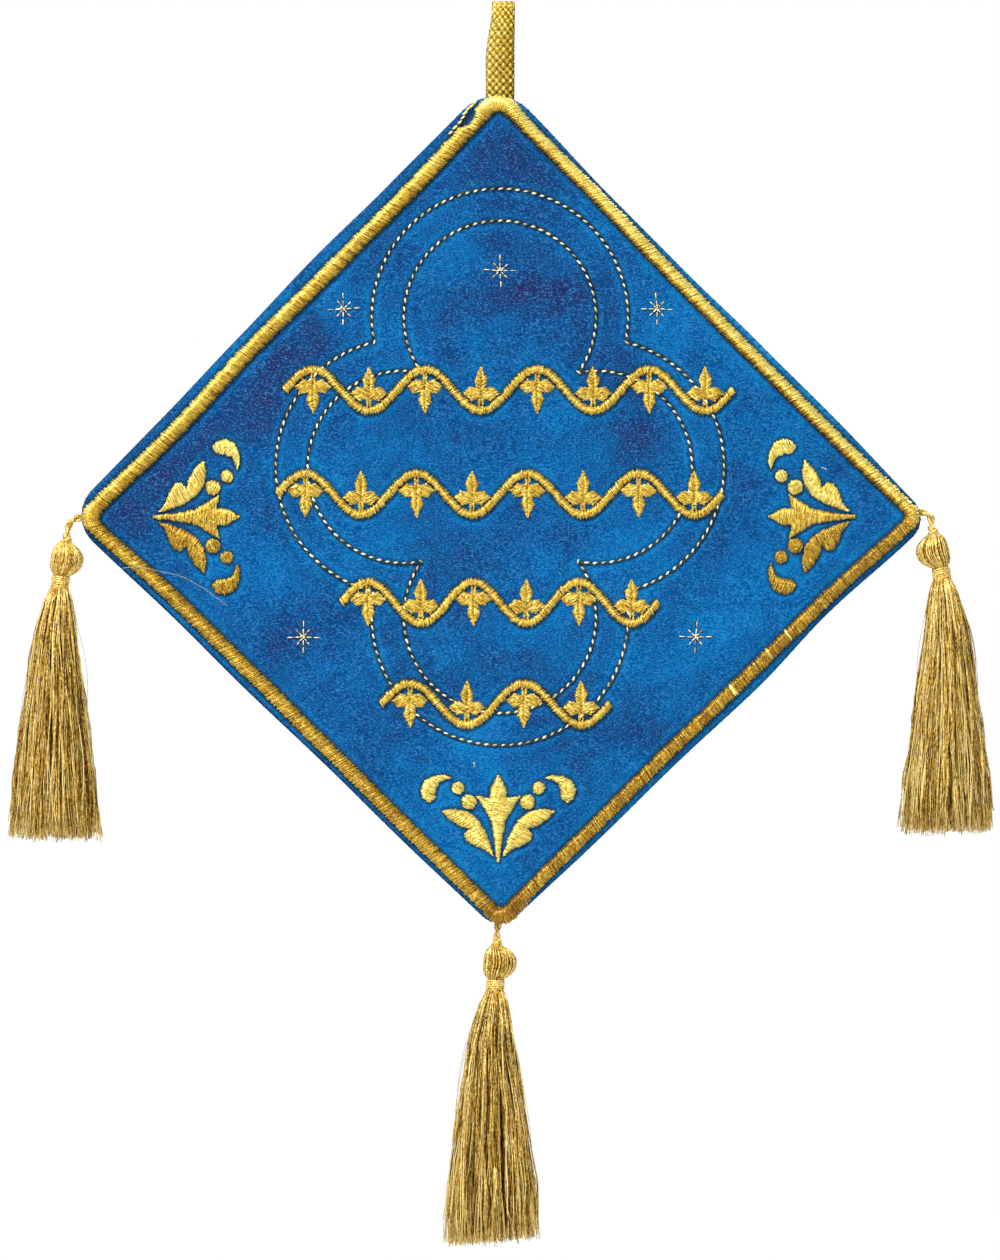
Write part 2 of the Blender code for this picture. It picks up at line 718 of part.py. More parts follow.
def neck_plate(bm, knot):
    """The round underside of the neck, as a grid of cells: its locks, and where each lies on the disc."""
    bmesh.ops.create_grid(bm, x_segments=LOCKS_ACROSS, y_segments=LOCKS_ACROSS, size=1.0)
    lock_of = bm.faces.layers.int.new("lock")
    spots = []
    for number, face in enumerate(bm.faces):
        face[lock_of] = number
        middle = face.calc_center_median()
        spots.append(disc_point(middle.x, middle.y))
    for vert in bm.verts:
        spot = disc_point(vert.co.x, vert.co.y)
        vert.co = knot.place(HEAD_PROFILE[0][0], NECK_RADIUS * spot.length, math.atan2(spot.y, spot.x))
    return bm.faces[:], spots


def grow_head(bm, knot):
    """Draws the plate's rim up into the neck and head, and closes the crown."""
    edges = [edge for edge in bm.edges if edge.is_boundary]
    corners = {vert for edge in edges for vert in edge.verts}
    ring = sorted(corners, key=lambda vert: math.atan2(vert.co.y, vert.co.x))
    turns = [math.atan2(vert.co.y, vert.co.x) for vert in ring]
    for height, radius in HEAD_PROFILE[1:]:
        grown = bmesh.ops.extrude_edge_only(bm, edges=edges)["geom"]
        edges = [part for part in grown if isinstance(part, bmesh.types.BMEdge)]
        above = {part for part in grown if isinstance(part, bmesh.types.BMVert)}
        partner = {}
        for new in above:
            for edge in new.link_edges:
                old = edge.other_vert(new)
                if old not in above:
                    partner[old] = new
        ring = [partner[old] for old in ring]
        edges = [edge for edge in edges if all(vert in above for vert in edge.verts)]
        for vert, turn in zip(ring, turns):
            vert.co = knot.place(height, radius, turn)
    bmesh.ops.edgeloop_fill(bm, edges=edges)


def tassel_body(tassel, knot):
    """A tassel: its head and neck, with the locks of the skirt drawn out of the neck's underside."""
    random = np.random.default_rng(tassel.corner)
    bm = bmesh.new()
    locks, spots = neck_plate(bm, knot)
    lock_of = bm.faces.layers.int["lock"]
    grow_head(bm, knot)
    bmesh.ops.recalc_face_normals(bm, faces=bm.faces)
    cell = 2 * NECK_RADIUS / LOCKS_ACROSS
    bmesh.ops.inset_individual(bm, faces=locks, thickness=cell * (1 - LOCK_SHARE) / 2)
    sways = random.uniform(-1, 1, (len(locks), 2)) * LOCK_SWAY
    ends = random.uniform(-0.3, 1, len(locks)) * LOCK_UNEVEN
    plumb = Matrix.Rotation(-knot.tilt, 3, "Y")
    drop = plumb @ Vector((tassel.end[0] - tassel.neck[0], 0, tassel.end[1] - tassel.neck[1]))
    lean = plumb @ Vector((tassel.end[0] - tassel.neck[0], 0, 0))
    before = NECK_RADIUS
    for share, radius in SKIRT_PROFILE:
        locks = bmesh.ops.extrude_discrete_faces(bm, faces=locks)["faces"]
        axis = drop * share + lean * (min(share / SKIRT_PLUMB, 1) - share)
        for face in locks:
            number = face[lock_of]
            spot = spots[number] * radius + Vector(sways[number]) * share
            middle = axis + plumb @ Vector((spot.x, spot.y, ends[number] * share))
            old = face.calc_center_median()
            for vert in face.verts:
                vert.co = middle + (vert.co - old) * (radius / before)
        before = radius
    return add_object(f"tassel_{tassel.name}", bm, "gold_tassel_yarn", knot.empty)


def binding(tassel, knot):
    """The wound band round a tassel's neck."""
    inner = NECK_RADIUS + CLEARANCE
    outer = inner + BINDING_THICKNESS
    half = BINDING_HEIGHT / 2
    edge = outer - BINDING_THICKNESS / 3
    rings = []
    for k in range(BINDING_SIDES):
        turn = 2 * math.pi * k / BINDING_SIDES
        section = ((-half, inner), (-half, edge), (0, outer), (half, edge), (half, inner))
        rings.append([(r * math.cos(turn), r * math.sin(turn), height) for height, r in section])
    bm = sweep(rings, closed=True)
    return add_object(f"tassel_binding_{tassel.name}", bm, "gold_tassel_yarn", knot.empty)


def smooth_route(points, steps):
    """Points read evenly from a smooth curve through a few."""
    knots = [points[0] * 2 - points[1], *points, points[-1] * 2 - points[-2]]
    found = []
    for k in range(steps + 1):
        place = k / steps * (len(points) - 1)
        index = min(int(place), len(points) - 2)
        t = place - index
        a, b, c, d = knots[index : index + 4]
        curve = b * 2 + (c - a) * t + (a * 2 - b * 5 + c * 4 - d) * t**2 + (b * 3 - a - c * 3 + d) * t**3
        found.append(curve / 2)
    return found


def tassel_cord(tassel, knot, root):
    """The short two-ply cord from between the panels to the tassel's crown."""
    top = HEAD_PROFILE[-1][0]
    crown = knot.empty.matrix_world @ knot.place(top + CLEARANCE, 0, 0)
    above = knot.empty.matrix_world @ knot.place(top + CORD_RISE, 0, 0)
    flat = (tuck_end(tassel), tassel.exit, tassel.bend)
    line = smooth_route([Vector((x, knot.depth, z)) for x, z in flat] + [above, crown], CORD_STEPS)
    rings = []
    run = 0.0
    for k, place in enumerate(line):
        along = (line[min(k + 1, CORD_STEPS)] - line[max(k - 1, 0)]).normalized()
        if k:
            run += (place - line[k - 1]).length
        twist = 2 * math.pi * run / CORD_TURN_PITCH
        forward = Vector((0, 1, 0))
        sideways = along.cross(forward)
        ring = []
        for n in range(CORD_SIDES):
            turn = 2 * math.pi * n / CORD_SIDES
            oval = Vector((CORD_THICK / 2 * math.cos(turn), CORD_THIN / 2 * math.sin(turn)))
            oval.rotate(Matrix.Rotation(twist, 2))
            ring.append(place + sideways * oval.x + forward * oval.y)
        rings.append(ring)
    return add_object(f"tassel_cord_{tassel.name}", sweep(rings), "gold_tassel_yarn", root)


def build():
    """Makes the whole banner."""
    for old in list(bpy.data.objects):
        bpy.data.objects.remove(old)
    bpy.context.scene.collection.children.link(bpy.data.collections.new(BANNER))
    root = add_empty("hanging_point", None)
    front_panel = panel("front_panel", -1, [side.front_inset for side in SIDES], root)
    panel("back_panel", 1, [0] * 4, root)
    front = Front(front_panel)
    border(front, root)
    for spot in SPRIGS:
        sprig(spot, front, root)
    for band in BANDS:
        vine_band(band, front, root)
    tape_loop(root)
    for tassel in TASSELS:
        knot = Knot(tassel, root)
        tassel_body(tassel, knot)
        binding(tassel, knot)
        tassel_cord(tassel, knot, root)


build()
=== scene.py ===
"""Looks of the hanging church banner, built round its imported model.

The frame is the model's own: +Z up, +X to the right, the front facing -Y, and the origin inside the top
of the tape loop. Every size and place below is in millimetres until a mesh is made from it.
"""

from __future__ import annotations

import json
import logging
import math
from dataclasses import dataclass, field
from enum import Enum
from typing import Callable, NamedTuple, Sequence

import bmesh
import bpy
import numpy as np
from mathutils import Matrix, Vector, noise
from mathutils.bvhtree import BVHTree

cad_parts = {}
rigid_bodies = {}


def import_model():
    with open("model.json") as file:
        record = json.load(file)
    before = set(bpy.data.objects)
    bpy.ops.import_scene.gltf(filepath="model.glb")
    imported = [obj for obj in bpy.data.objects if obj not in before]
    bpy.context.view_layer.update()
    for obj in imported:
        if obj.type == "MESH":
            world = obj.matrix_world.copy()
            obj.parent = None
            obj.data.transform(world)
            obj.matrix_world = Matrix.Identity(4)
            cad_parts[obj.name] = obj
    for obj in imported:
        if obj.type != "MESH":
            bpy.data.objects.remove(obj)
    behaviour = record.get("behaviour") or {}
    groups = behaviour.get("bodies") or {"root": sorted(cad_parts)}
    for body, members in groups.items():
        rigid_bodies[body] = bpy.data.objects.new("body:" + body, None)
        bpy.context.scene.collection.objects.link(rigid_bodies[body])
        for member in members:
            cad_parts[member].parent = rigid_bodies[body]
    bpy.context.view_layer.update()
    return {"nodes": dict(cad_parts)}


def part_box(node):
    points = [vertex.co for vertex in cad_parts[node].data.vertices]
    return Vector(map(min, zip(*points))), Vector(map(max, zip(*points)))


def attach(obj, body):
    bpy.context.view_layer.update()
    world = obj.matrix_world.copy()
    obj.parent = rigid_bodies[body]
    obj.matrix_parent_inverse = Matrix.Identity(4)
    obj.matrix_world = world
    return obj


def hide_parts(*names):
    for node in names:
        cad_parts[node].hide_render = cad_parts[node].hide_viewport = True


LOG = logging.getLogger("church_banner")
MM = 0.001
BODY = "root"
Array = np.ndarray
Colour = tuple[float, float, float]
Place = tuple[float, float]


class Slot(Enum):
    """The record's material slots."""

    VELVET = "blue_velvet"
    SATIN = "gold_satin_thread"
    BRAID = "gold_braid"
    YARN = "gold_tassel_yarn"


class Signal:
    """One output socket of a material, on which Python's operators do shader maths."""

    def __init__(self, recipe: Recipe, socket: bpy.types.NodeSocket) -> None:
        """Keeps the socket and the recipe that it belongs to."""
        self.recipe = recipe
        self.socket = socket

    def maths(self, operation: str, *others: Signal | float) -> Signal:
        """A Math node on this signal and others."""
        return self.recipe.node("ShaderNodeMath", {"operation": operation}, dict(enumerate((self, *others))))

    def __add__(self, other: Signal | float) -> Signal:
        """The sum."""
        return self.maths("ADD", other)

    def __sub__(self, other: Signal | float) -> Signal:
        """The difference."""
        return self.maths("SUBTRACT", other)

    def __mul__(self, other: Signal | float) -> Signal:
        """The product."""
        return self.maths("MULTIPLY", other)

    def __rsub__(self, other: float) -> Signal:
        """A number less this signal."""
        return self * -1.0 + other

    __radd__ = __add__
    __rmul__ = __mul__

    def between(self, low: float, high: float) -> Signal:
        """0 below the low value, 1 above the high one, and a smooth step between them."""
        settings = {"interpolation_type": "SMOOTHSTEP"}
        return self.recipe.node("ShaderNodeMapRange", settings, {0: self, 1: low, 2: high, 3: 0.0, 4: 1.0})


class Recipe:
    """The nodes of one material, added by name and wired in Python."""

    def __init__(self, name: str) -> None:
        """Starts a material of this name with a Principled shader."""
        self.material = bpy.data.materials.new(name)
        self.material.use_nodes = True
        self.tree = self.material.node_tree
        self.shader = self.tree.nodes["Principled BSDF"]

    def node(self, kind: str, settings: dict, sockets: dict, output: int | str = 0) -> Signal:
        """Adds a node.

        Args:
            kind: the node's type.
            settings: its own settings, which are set first; stops are a ramp's places and colours.
            sockets: its inputs by name or number, each a value or a signal.
            output: the output that is wanted.

        Returns:
            The signal of that output.
        """
        made = self.tree.nodes.new(kind)
        for name, value in settings.items():
            if name == "stops":
                self._set_stops(made.color_ramp, value)
            else:
                setattr(made, name, value)
        self.fill(made, sockets)
        return Signal(self, made.outputs[output])

    @staticmethod
    def _set_stops(ramp: bpy.types.ColorRamp, stops: Sequence[tuple[float, Colour]]) -> None:
        """Gives a ramp its places and colours."""
        while len(ramp.elements) < len(stops):
            ramp.elements.new(0.5)
        for element, (place, colour) in zip(ramp.elements, stops):
            element.position = place
            element.color = (*colour, 1.0)

    def fill(self, made: bpy.types.Node, sockets: dict) -> None:
        """Gives a node's inputs their values or links."""
        for key, value in sockets.items():
            if isinstance(value, Signal):
                self.tree.links.new(value.socket, made.inputs[key])
            else:
                made.inputs[key].default_value = value

    def place(self) -> Signal:
        """The place on the object, in millimetres."""
        where = self.node("ShaderNodeTexCoord", {}, {}, "Object")
        return self.node("ShaderNodeMapping", {}, {"Vector": where, "Scale": (1 / MM,) * 3})

    def attribute(self, name: str) -> Signal:
        """A number that the mesh carries."""
        return self.node("ShaderNodeAttribute", {"attribute_name": name}, {}, "Fac")

    def clouds(self, place: Signal, size: float, detail: float = 2.0, swirl: float = 0.0) -> Signal:
        """Soft noise from 0 to 1 whose lumps have a size in millimetres."""
        sockets = {"Vector": place, "Scale": 1 / size, "Detail": detail, "Distortion": swirl}
        return self.node("ShaderNodeTexNoise", {}, sockets)

    def ramp(self, factor: Signal, stops: Sequence[tuple[float, Colour]]) -> Signal:
        """A colour ramp."""
        return self.node("ShaderNodeValToRGB", {"stops": stops}, {"Fac": factor})

    def mix(self, factor: Signal, first: Signal, second: Colour) -> Signal:
        """A first colour that turns into a second one as the factor goes from 0 to 1."""
        sockets = {0: factor, 6: first, 7: (*second, 1.0)}
        return self.node("ShaderNodeMix", {"data_type": "RGBA"}, sockets, 2)

    def bump(self, height: Signal, depth: float, strength: float = 1.0) -> Signal:
        """A bump whose full height has a depth in millimetres."""
        sockets = {"Height": height, "Distance": depth * MM, "Strength": strength}
        return self.node("ShaderNodeBump", {}, sockets)


@dataclass(frozen=True)
class VelvetFinish:
    """Short-pile velvet: mottled where the pile lies differently and where shade and highlights are painted
    in, finely grained with painted glints, softly sheened.
    """

    name: str = "velvet_pile"
    shadow: Colour = (0.014, 0.014, 0.075)
    deep: Colour = (0.004, 0.042, 0.150)
    body: Colour = (0.001, 0.090, 0.275)
    lit: Colour = (0.001, 0.150, 0.400)
    glint: Colour = (0.010, 0.250, 0.540)
    # Painted shade: the dark colour put along the edges of the sewing
    pressed_and_shaded: Colour = (0.010, 0.032, 0.038)
    # Painted glints and shade in the pile: tip is the pale colour painted on the grain's peaks as highlights,
    # root the dark one painted in its hollows as shade
    tip: Colour = (0.032, 0.185, 0.450)
    root: Colour = (0.000, 0.026, 0.120)
    grain: float = 0.33
    wrinkle: float = 0.80
    scale: float = 0.95
    stretch: float = 0.6
    roughness: float = 0.82

    def make(self) -> bpy.types.Material:
        """The material."""
        recipe = Recipe(self.name)
        place = recipe.place()
        lie = recipe.attribute("lie")
        patches = recipe.clouds(place, 22, 3, 0.6)
        mottles = recipe.clouds(place, 5.0, 3, 0.8)
        dashed = recipe.node("ShaderNodeMapping", {}, {"Vector": place, "Scale": (self.stretch, 1.0, 1.0)})
        wrinkles = recipe.clouds(dashed, self.wrinkle, 2, 0.7)
        grain = recipe.clouds(dashed, self.grain, 1)
        scales = recipe.node(
            "ShaderNodeTexVoronoi", {"feature": "SMOOTH_F1"}, {"Vector": dashed, "Scale": 1 / self.scale},
            "Distance",
        )
        # The attribute that the tone starts from carries the pile's patches with painted shade, painted rim
        # highlights and a painted bright halo
        tone = lie + patches * 0.55 + mottles * 0.38 + wrinkles * 0.16 + scales * -0.16 - 0.01
        stops = (
            (0.14, self.shadow), (0.34, self.deep), (0.54, self.body), (0.74, self.lit), (1.0, self.glint),
        )
        relief = recipe.bump(scales * -0.5 + wrinkles * 0.4 + grain * 0.5, 0.28, 0.7)
        # Painted glints on the grain's peaks and painted shade in its hollows
        colour = recipe.mix(grain.between(0.48, 0.74) * 0.70, recipe.ramp(tone, stops), self.tip)
        colour = recipe.mix(grain.between(0.52, 0.26) * 0.70, colour, self.root)
        # Painted shade along the edges of the sewing
        colour = recipe.mix(recipe.attribute("pressed_and_shaded") * 0.85, colour, self.pressed_and_shaded)
        recipe.fill(recipe.shader, {
            "Base Color": colour, "Roughness": self.roughness, "Normal": relief,
            "Sheen Weight": 0.08, "Sheen Roughness": 0.35, "Sheen Tint": (0.0, 0.55, 1.0, 1.0),
            "Specular IOR Level": 0.04,
        })
        return recipe.material


@dataclass(frozen=True)
class ThreadFinish:
    """Thread whose colour goes from deep to pale with the tone that each strand carries; in some pieces that
    tone also holds painted light and shade.
    """

    name: str
    deep: Colour
    body: Colour
    pale: Colour
    metallic: float = 0.0
    roughness: float = 0.4
    speckle: float = 0.7
    stretch: float = 1.0  # how long its flecks are, as a share of their width, up and down
    specular: float = 0.4
    patchiness: float = 0.24

    def make(self) -> bpy.types.Material:
        """The material."""
        recipe = Recipe(self.name)
        place = recipe.place()
        patches = recipe.clouds(place, 3.0, 2)
        drawn = recipe.node("ShaderNodeMapping", {}, {"Vector": place, "Scale": (1.0, 1.0, 1 / self.stretch)})
        flecks = recipe.clouds(drawn, 0.35, 1)
        tone = recipe.attribute("tone") + (patches - 0.5) * self.patchiness + (flecks - 0.5) * self.speckle
        stops = ((0.0, self.deep), (0.5, self.body), (1.0, self.pale))
        recipe.fill(recipe.shader, {
            "Base Color": recipe.ramp(tone, stops), "Metallic": self.metallic,
            "Roughness": flecks * 0.2 + (self.roughness - 0.1),
            "Normal": recipe.bump(flecks, 0.05, 0.4), "Specular IOR Level": self.specular,
        })
        return recipe.material


class Finishes:
    """Every material, made once."""

    def __init__(self) -> None:
        """Makes the materials."""
        self.velvet = VelvetFinish().make()
        self.satin = ThreadFinish(
            "gold_satin_stitch", (0.26, 0.12, 0.008), (0.74, 0.50, 0.055), (1.0, 0.92, 0.32),
            metallic=0.5, roughness=0.34, speckle=1.1, patchiness=0.10,
        ).make()
        self.braid = ThreadFinish(
            "gold_plait", (0.10, 0.050, 0.003), (0.58, 0.39, 0.040), (1.0, 0.88, 0.34),
            metallic=0.5, roughness=0.32, speckle=1.1, specular=0.2,
        ).make()
        self.yarn = ThreadFinish(
            "old_gold_yarn", (0.08, 0.030, 0.003), (0.66, 0.395, 0.052), (1.0, 0.84, 0.36),
            metallic=0.35, roughness=0.38, speckle=2.0, stretch=2.2, specular=0.15,
        ).make()
        self.pale_stitch = ThreadFinish(
            "pale_gold_stitch", (0.30, 0.26, 0.10), (0.74, 0.68, 0.40), (1.0, 0.98, 0.80),
            metallic=0.2, roughness=0.36,
        ).make()
        # Painted shadow: the dark thread laid beside the running stitches
        self.painted_shadow_stitch = ThreadFinish(
            "painted_shadow_stitch", (0.002, 0.006, 0.012), (0.006, 0.014, 0.020), (0.05, 0.06, 0.03), roughness=0.6,
        ).make()
        self.seam = ThreadFinish(
            "blue_sewing_thread", (0.003, 0.018, 0.07), (0.006, 0.05, 0.18), (0.02, 0.12, 0.34),
            roughness=0.6,
        ).make()
        self.lint = ThreadFinish(
            "pale_lint", (0.18, 0.20, 0.20), (0.36, 0.34, 0.26), (0.7, 0.68, 0.6), roughness=0.6,
        ).make()


def unit(vectors: Array) -> Array:
    """The vectors at length one."""
    return vectors / np.maximum(np.linalg.norm(vectors, axis=-1, keepdims=True), 1e-9)


def left_of(along: Array) -> Array:
    """Flat vectors, one a row, turned a quarter turn to their left."""
    return np.stack([-along[:, 1], along[:, 0]], axis=1)


def turning(degrees: float) -> Array:
    """The matrix that turns rows of flat places from +X towards +Z."""
    angle = math.radians(degrees)
    return np.array([[math.cos(angle), math.sin(angle)], [-math.sin(angle), math.cos(angle)]])


def at_depth(flat: Array, depth: Array) -> Array:
    """Places on the plane of the front, the last axis being x and z, given their Y."""
    return np.stack([flat[..., 0], depth, flat[..., 1]], axis=-1)


def smooth_step(value: Array) -> Array:
    """0 up to 0, 1 from 1 on, and smooth between."""
    value = np.clip(value, 0.0, 1.0)
    return value * value * (3 - 2 * value)


def smooth_route(points: Array, steps: int) -> Array:
    """Points read evenly from a smooth curve through a few.

    Args:
        points: the points to pass through, one a row.
        steps: how many steps the curve is read in.

    Returns:
        One row more than there are steps.
    """
    points = np.asarray(points, float)
    knots = np.vstack([points[0] * 2 - points[1], points, points[-1] * 2 - points[-2]])
    places = np.linspace(0, len(points) - 1, steps + 1)
    index = np.minimum(places.astype(int), len(points) - 2)
    t = (places - index)[:, None]
    a, b, c, d = (knots[index + k] for k in range(4))
    return (b * 2 + (c - a) * t + (a * 2 - b * 5 + c * 4 - d) * t**2 + (b * 3 - a - c * 3 + d) * t**3) / 2


def finish_object(
    mesh: bpy.types.Mesh, material: bpy.types.Material, replaced: Sequence[str] = ()
) -> bpy.types.Object:
    """Turns a finished mesh into a smooth-shaded piece of the banner.

    Args:
        mesh: the mesh, in metres, whose name the piece takes.
        material: its finish.
        replaced: the CAD nodes that it stands for.

    Returns:
        The piece.
    """
    mesh.materials.append(material)
    mesh.shade_smooth()
    piece = bpy.data.objects.new(mesh.name, mesh)
    bpy.context.scene.collection.objects.link(piece)
    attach(piece, BODY)
    if replaced:
        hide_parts(*replaced)
    LOG.info("%s: %d faces", piece.name, len(mesh.polygons))
    return piece


@dataclass
class Threads:
    """Thin threads gathered into one mesh: each is a closed tube of rings along its own line."""

    sides: int = 4
    points: list[Array] = field(default_factory=list)
    tones: list[Array] = field(default_factory=list)
    faces: list[list[int]] = field(default_factory=list)
    count: int = 0

    def add(
        self, lines: Array, radius: Array | float, tone: Array | float,
        facing: Array | Sequence[float] = (0, -1, 0), flatness: float = 1.0,
    ) -> None:
        """Adds threads that have the same number of rings.

        Args:
            lines: their middle lines, as threads by rings by three.
            radius: one for all, or threads by rings.
            tone: one for all, one a thread, or threads by rings.
            facing: the way that a thread's flat side looks, for all or for each ring.
            flatness: the thickness that way, as a share of the width.
        """
        threads, rings, _ = lines.shape
        if not threads:
            return
        radius = np.broadcast_to(radius, (threads, rings))
        tone = np.asarray(tone, float)
        tone = np.broadcast_to(tone[:, None] if tone.ndim == 1 else tone, (threads, rings))
        along = unit(np.gradient(lines, axis=1))
        facing = np.broadcast_to(np.asarray(facing, float), lines.shape)
        up = unit(facing - (facing * along).sum(-1, keepdims=True) * along)
        across = np.cross(along, up)
        turn = 2 * np.pi * np.arange(self.sides) / self.sides
        ring = up[:, :, None] * (np.cos(turn) * flatness)[:, None]
        ring = ring + across[:, :, None] * np.sin(turn)[:, None]
        self.points.append((lines[:, :, None] + ring * radius[:, :, None, None]).reshape(-1, 3))
        self.tones.append(np.repeat(tone.reshape(-1), self.sides))
        index = np.arange(threads * rings * self.sides).reshape(threads, rings, self.sides) + self.count
        after = np.roll(index, -1, axis=2)
        walls = np.stack([index[:, :-1], after[:, :-1], after[:, 1:], index[:, 1:]], axis=-1)
        self.faces += walls.reshape(-1, 4).tolist()
        self.faces += index[:, 0, ::-1].tolist() + index[:, -1].tolist()
        self.count += index.size

    def piece(
        self, name: str, material: bpy.types.Material, slot: Slot | None, replaced: Sequence[str] = ()
    ) -> bpy.types.Object:
        """Makes the piece, as finish_object says."""
        mesh = bpy.data.meshes.new(name)
        mesh.from_pydata(np.concatenate(self.points) * MM, [], self.faces)
        tones = mesh.attributes.new("tone", "FLOAT", "POINT")
        tones.data.foreach_set("value", np.concatenate(self.tones).astype(np.float32))
        return finish_object(mesh, material, replaced)


class Corner(NamedTuple):
    """A corner of the lozenge, before rounding, and the radius of the cloth and of the border's edges."""

    x: float
    z: float
    cloth_radius: float
    outer_radius: float
    inner_radius: float


class Side(NamedTuple):
    """A side of the lozenge.

    The bows say how far a line stands out at each fifth of its length, and the painted sheen how pale the
    border's thread is painted at its outer edge, along its crest and at its inner edge: painted light and
    shade for a light from above and the left, paler on the upper sides and on slopes that face it.
    """

    bows: tuple[float, ...]
    border_bows: tuple[float, ...]
    border_insets: Place
    border_width: float
    front_inset: float
    painted_sheen: tuple[float, float, float]


CORNERS = (
    Corner(-1.9, -17.8, 11.6, 7.0, 1.6),
    Corner(107.1, -128.5, 6.4, 4.0, 1.0),
    Corner(-1.0, -232.0, 6.2, 4.4, 1.0),
    Corner(-109.4, -127.8, 9.0, 4.4, 2.0),
)
SIDES = (
    Side((-0.6, -0.5, 0.1, 0.4), (0.2, -0.4, -0.5, -0.4), (3.5, 2.4), 3.3, 0.2, (0.95, 0.64, -0.08)),
    Side((-0.9, 0.4, 0.0, 0.3), (-0.9, -0.7, -0.7, -0.3), (3.2, 2.5), 3.2, 0.6, (0.24, 0.22, 0.10)),
    Side((0.2, -0.1, 0.1, -0.3), (-0.1, -0.5, -0.8, -1.0), (2.8, 3.1), 3.5, 0.5, (0.42, 0.22, 0.30)),
    Side((0.0, 0.4, 0.8, 0.2), (-0.7, 0.1, -0.3, -0.5), (3.8, 4.3), 3.7, 0.2, (0.84, 0.39, 0.22)),
)


def outward(side: int) -> Array:
    """The unit vector that points out of the lozenge across a side."""
    start, end = CORNERS[side % 4], CORNERS[(side + 1) % 4]
    along = unit(np.array([end.x - start.x, end.z - start.z]))
    return np.array([-along[1], along[0]])


class Lozenge:
    """A closed line with four rounded corners, each side set in from the CORNERS by its own insets."""

    def __init__(self, insets: Sequence[Place], radii: Sequence[float], bows: Sequence[tuple]) -> None:
        """Finds the four corners.

        Args:
            insets: how far each side is set in, at its start and at its end.
            radii: the radius of each corner.
            bows: how far each side stands out at each fifth of its length.
        """
        self.radii = radii
        self.bows = bows
        self.corners = []
        for index, corner in enumerate(CORNERS):
            rows = np.array([outward(index - 1), outward(index)])
            reach = rows @ (corner.x, corner.z) - (insets[index - 1][1], insets[index][0])
            self.corners.append(np.linalg.solve(rows, reach))

    def arc(self, index: int, shares: Array) -> Array:
        """Points on a rounded corner: share 0 is where the arc begins and 1 is where it ends."""
        here, radius = self.corners[index], self.radii[index]
        back = unit(self.corners[index - 1] - here)
        ahead = unit(self.corners[(index + 1) % 4] - here)
        half = math.acos(back @ ahead) / 2
        centre = here + unit(back + ahead) * (radius / math.sin(half))
        start, end = (here + way * (radius / math.tan(half)) - centre for way in (back, ahead))
        turn = math.pi - 2 * half
        first, last = np.sin((1 - shares) * turn)[:, None], np.sin(shares * turn)[:, None]
        return centre + (start * first + end * last) / math.sin(turn)

    def bow(self, side: int, shares: Array) -> Array:
        """How far a side stands out of its straight line, at shares of its length."""
        height = np.zeros(len(shares))
        for place, offset in enumerate(self.bows[side], start=1):
            away = np.minimum(np.abs(shares * 5 - place), 1)
            height += offset * np.cos(away * np.pi / 2) ** 2
        return height

    def side(self, side: int, arc_steps: int, line_steps: int) -> Array:
        """Points along one side, from the middle of one rounded corner to the middle of the next."""
        after = (side + 1) % 4
        half = np.linspace(0, 0.5, arc_steps + 1)
        shares = np.linspace(0, 1, line_steps + 1)[:, None]
        begin, end = self.arc(side, np.ones(1)), self.arc(after, np.zeros(1))
        straight = begin * (1 - shares) + end * shares
        straight += outward(side) * self.bow(side, shares[:, 0])[:, None]
        return np.vstack([self.arc(side, half[:-1] + 0.5), straight, self.arc(after, half[1:])])

    def closed(self, arc_steps: int, line_steps: int) -> Array:
        """The points once round, the last one not repeated."""
        return np.vstack([self.side(side, arc_steps, line_steps)[:-1] for side in range(4)])


def cloth_line(front: bool) -> Lozenge:
    """The rim of the front or of the back panel."""
    insets = [(side.front_inset * front,) * 2 for side in SIDES]
    return Lozenge(insets, [corner.cloth_radius for corner in CORNERS], [side.bows for side in SIDES])


def evenly(line: Array, pitch: float, closed: bool = False) -> Array:
    """The points of a line read again at an even pitch.

    Args:
        line: points, one a row.
        pitch: the distance wanted between two points.
        closed: whether the line returns to its first point, which is then not repeated.

    Returns:
        The new points.
    """
    if closed:
        line = np.vstack([line, line[:1]])
    run = np.concatenate([[0], np.cumsum(np.linalg.norm(np.diff(line, axis=0), axis=1))])
    count = max(int(round(run[-1] / pitch)), 2)
    places = np.linspace(0, run[-1], count + 1)[: count if closed else None]
    return np.stack([np.interp(places, run, column) for column in line.T], axis=1)


def distance_to_line(places: Array, line: Array) -> Array:
    """How far each place is from the nearest point of a fine line."""
    found = np.full(len(places), 1e9)
    for start in range(0, len(line), 64):
        part = line[start : start + 64]
        gap = np.linalg.norm(places[:, None] - part[None], axis=2).min(axis=1)
        found = np.minimum(found, gap)
    return found


def drawn_in(places: Array, inset: float) -> Array:
    """Places on the front, those near or past the rim moved to the nearest place well inside it.

    Args:
        places: x and z, one place a row.
        inset: how far inside the rim counts as well inside.

    Returns:
        The new places.
    """
    for index, corner in enumerate(CORNERS):
        cut_off = corner.cloth_radius * (math.sqrt(2) - 1)
        tip = unit(outward(index - 1) + outward(index))
        for way, start in ((outward(index), inset), (tip, inset + cut_off)):
            beyond = (places - (corner.x, corner.z)) @ way + start
            places = places - way * np.maximum(beyond, 0)[:, None]
    return places


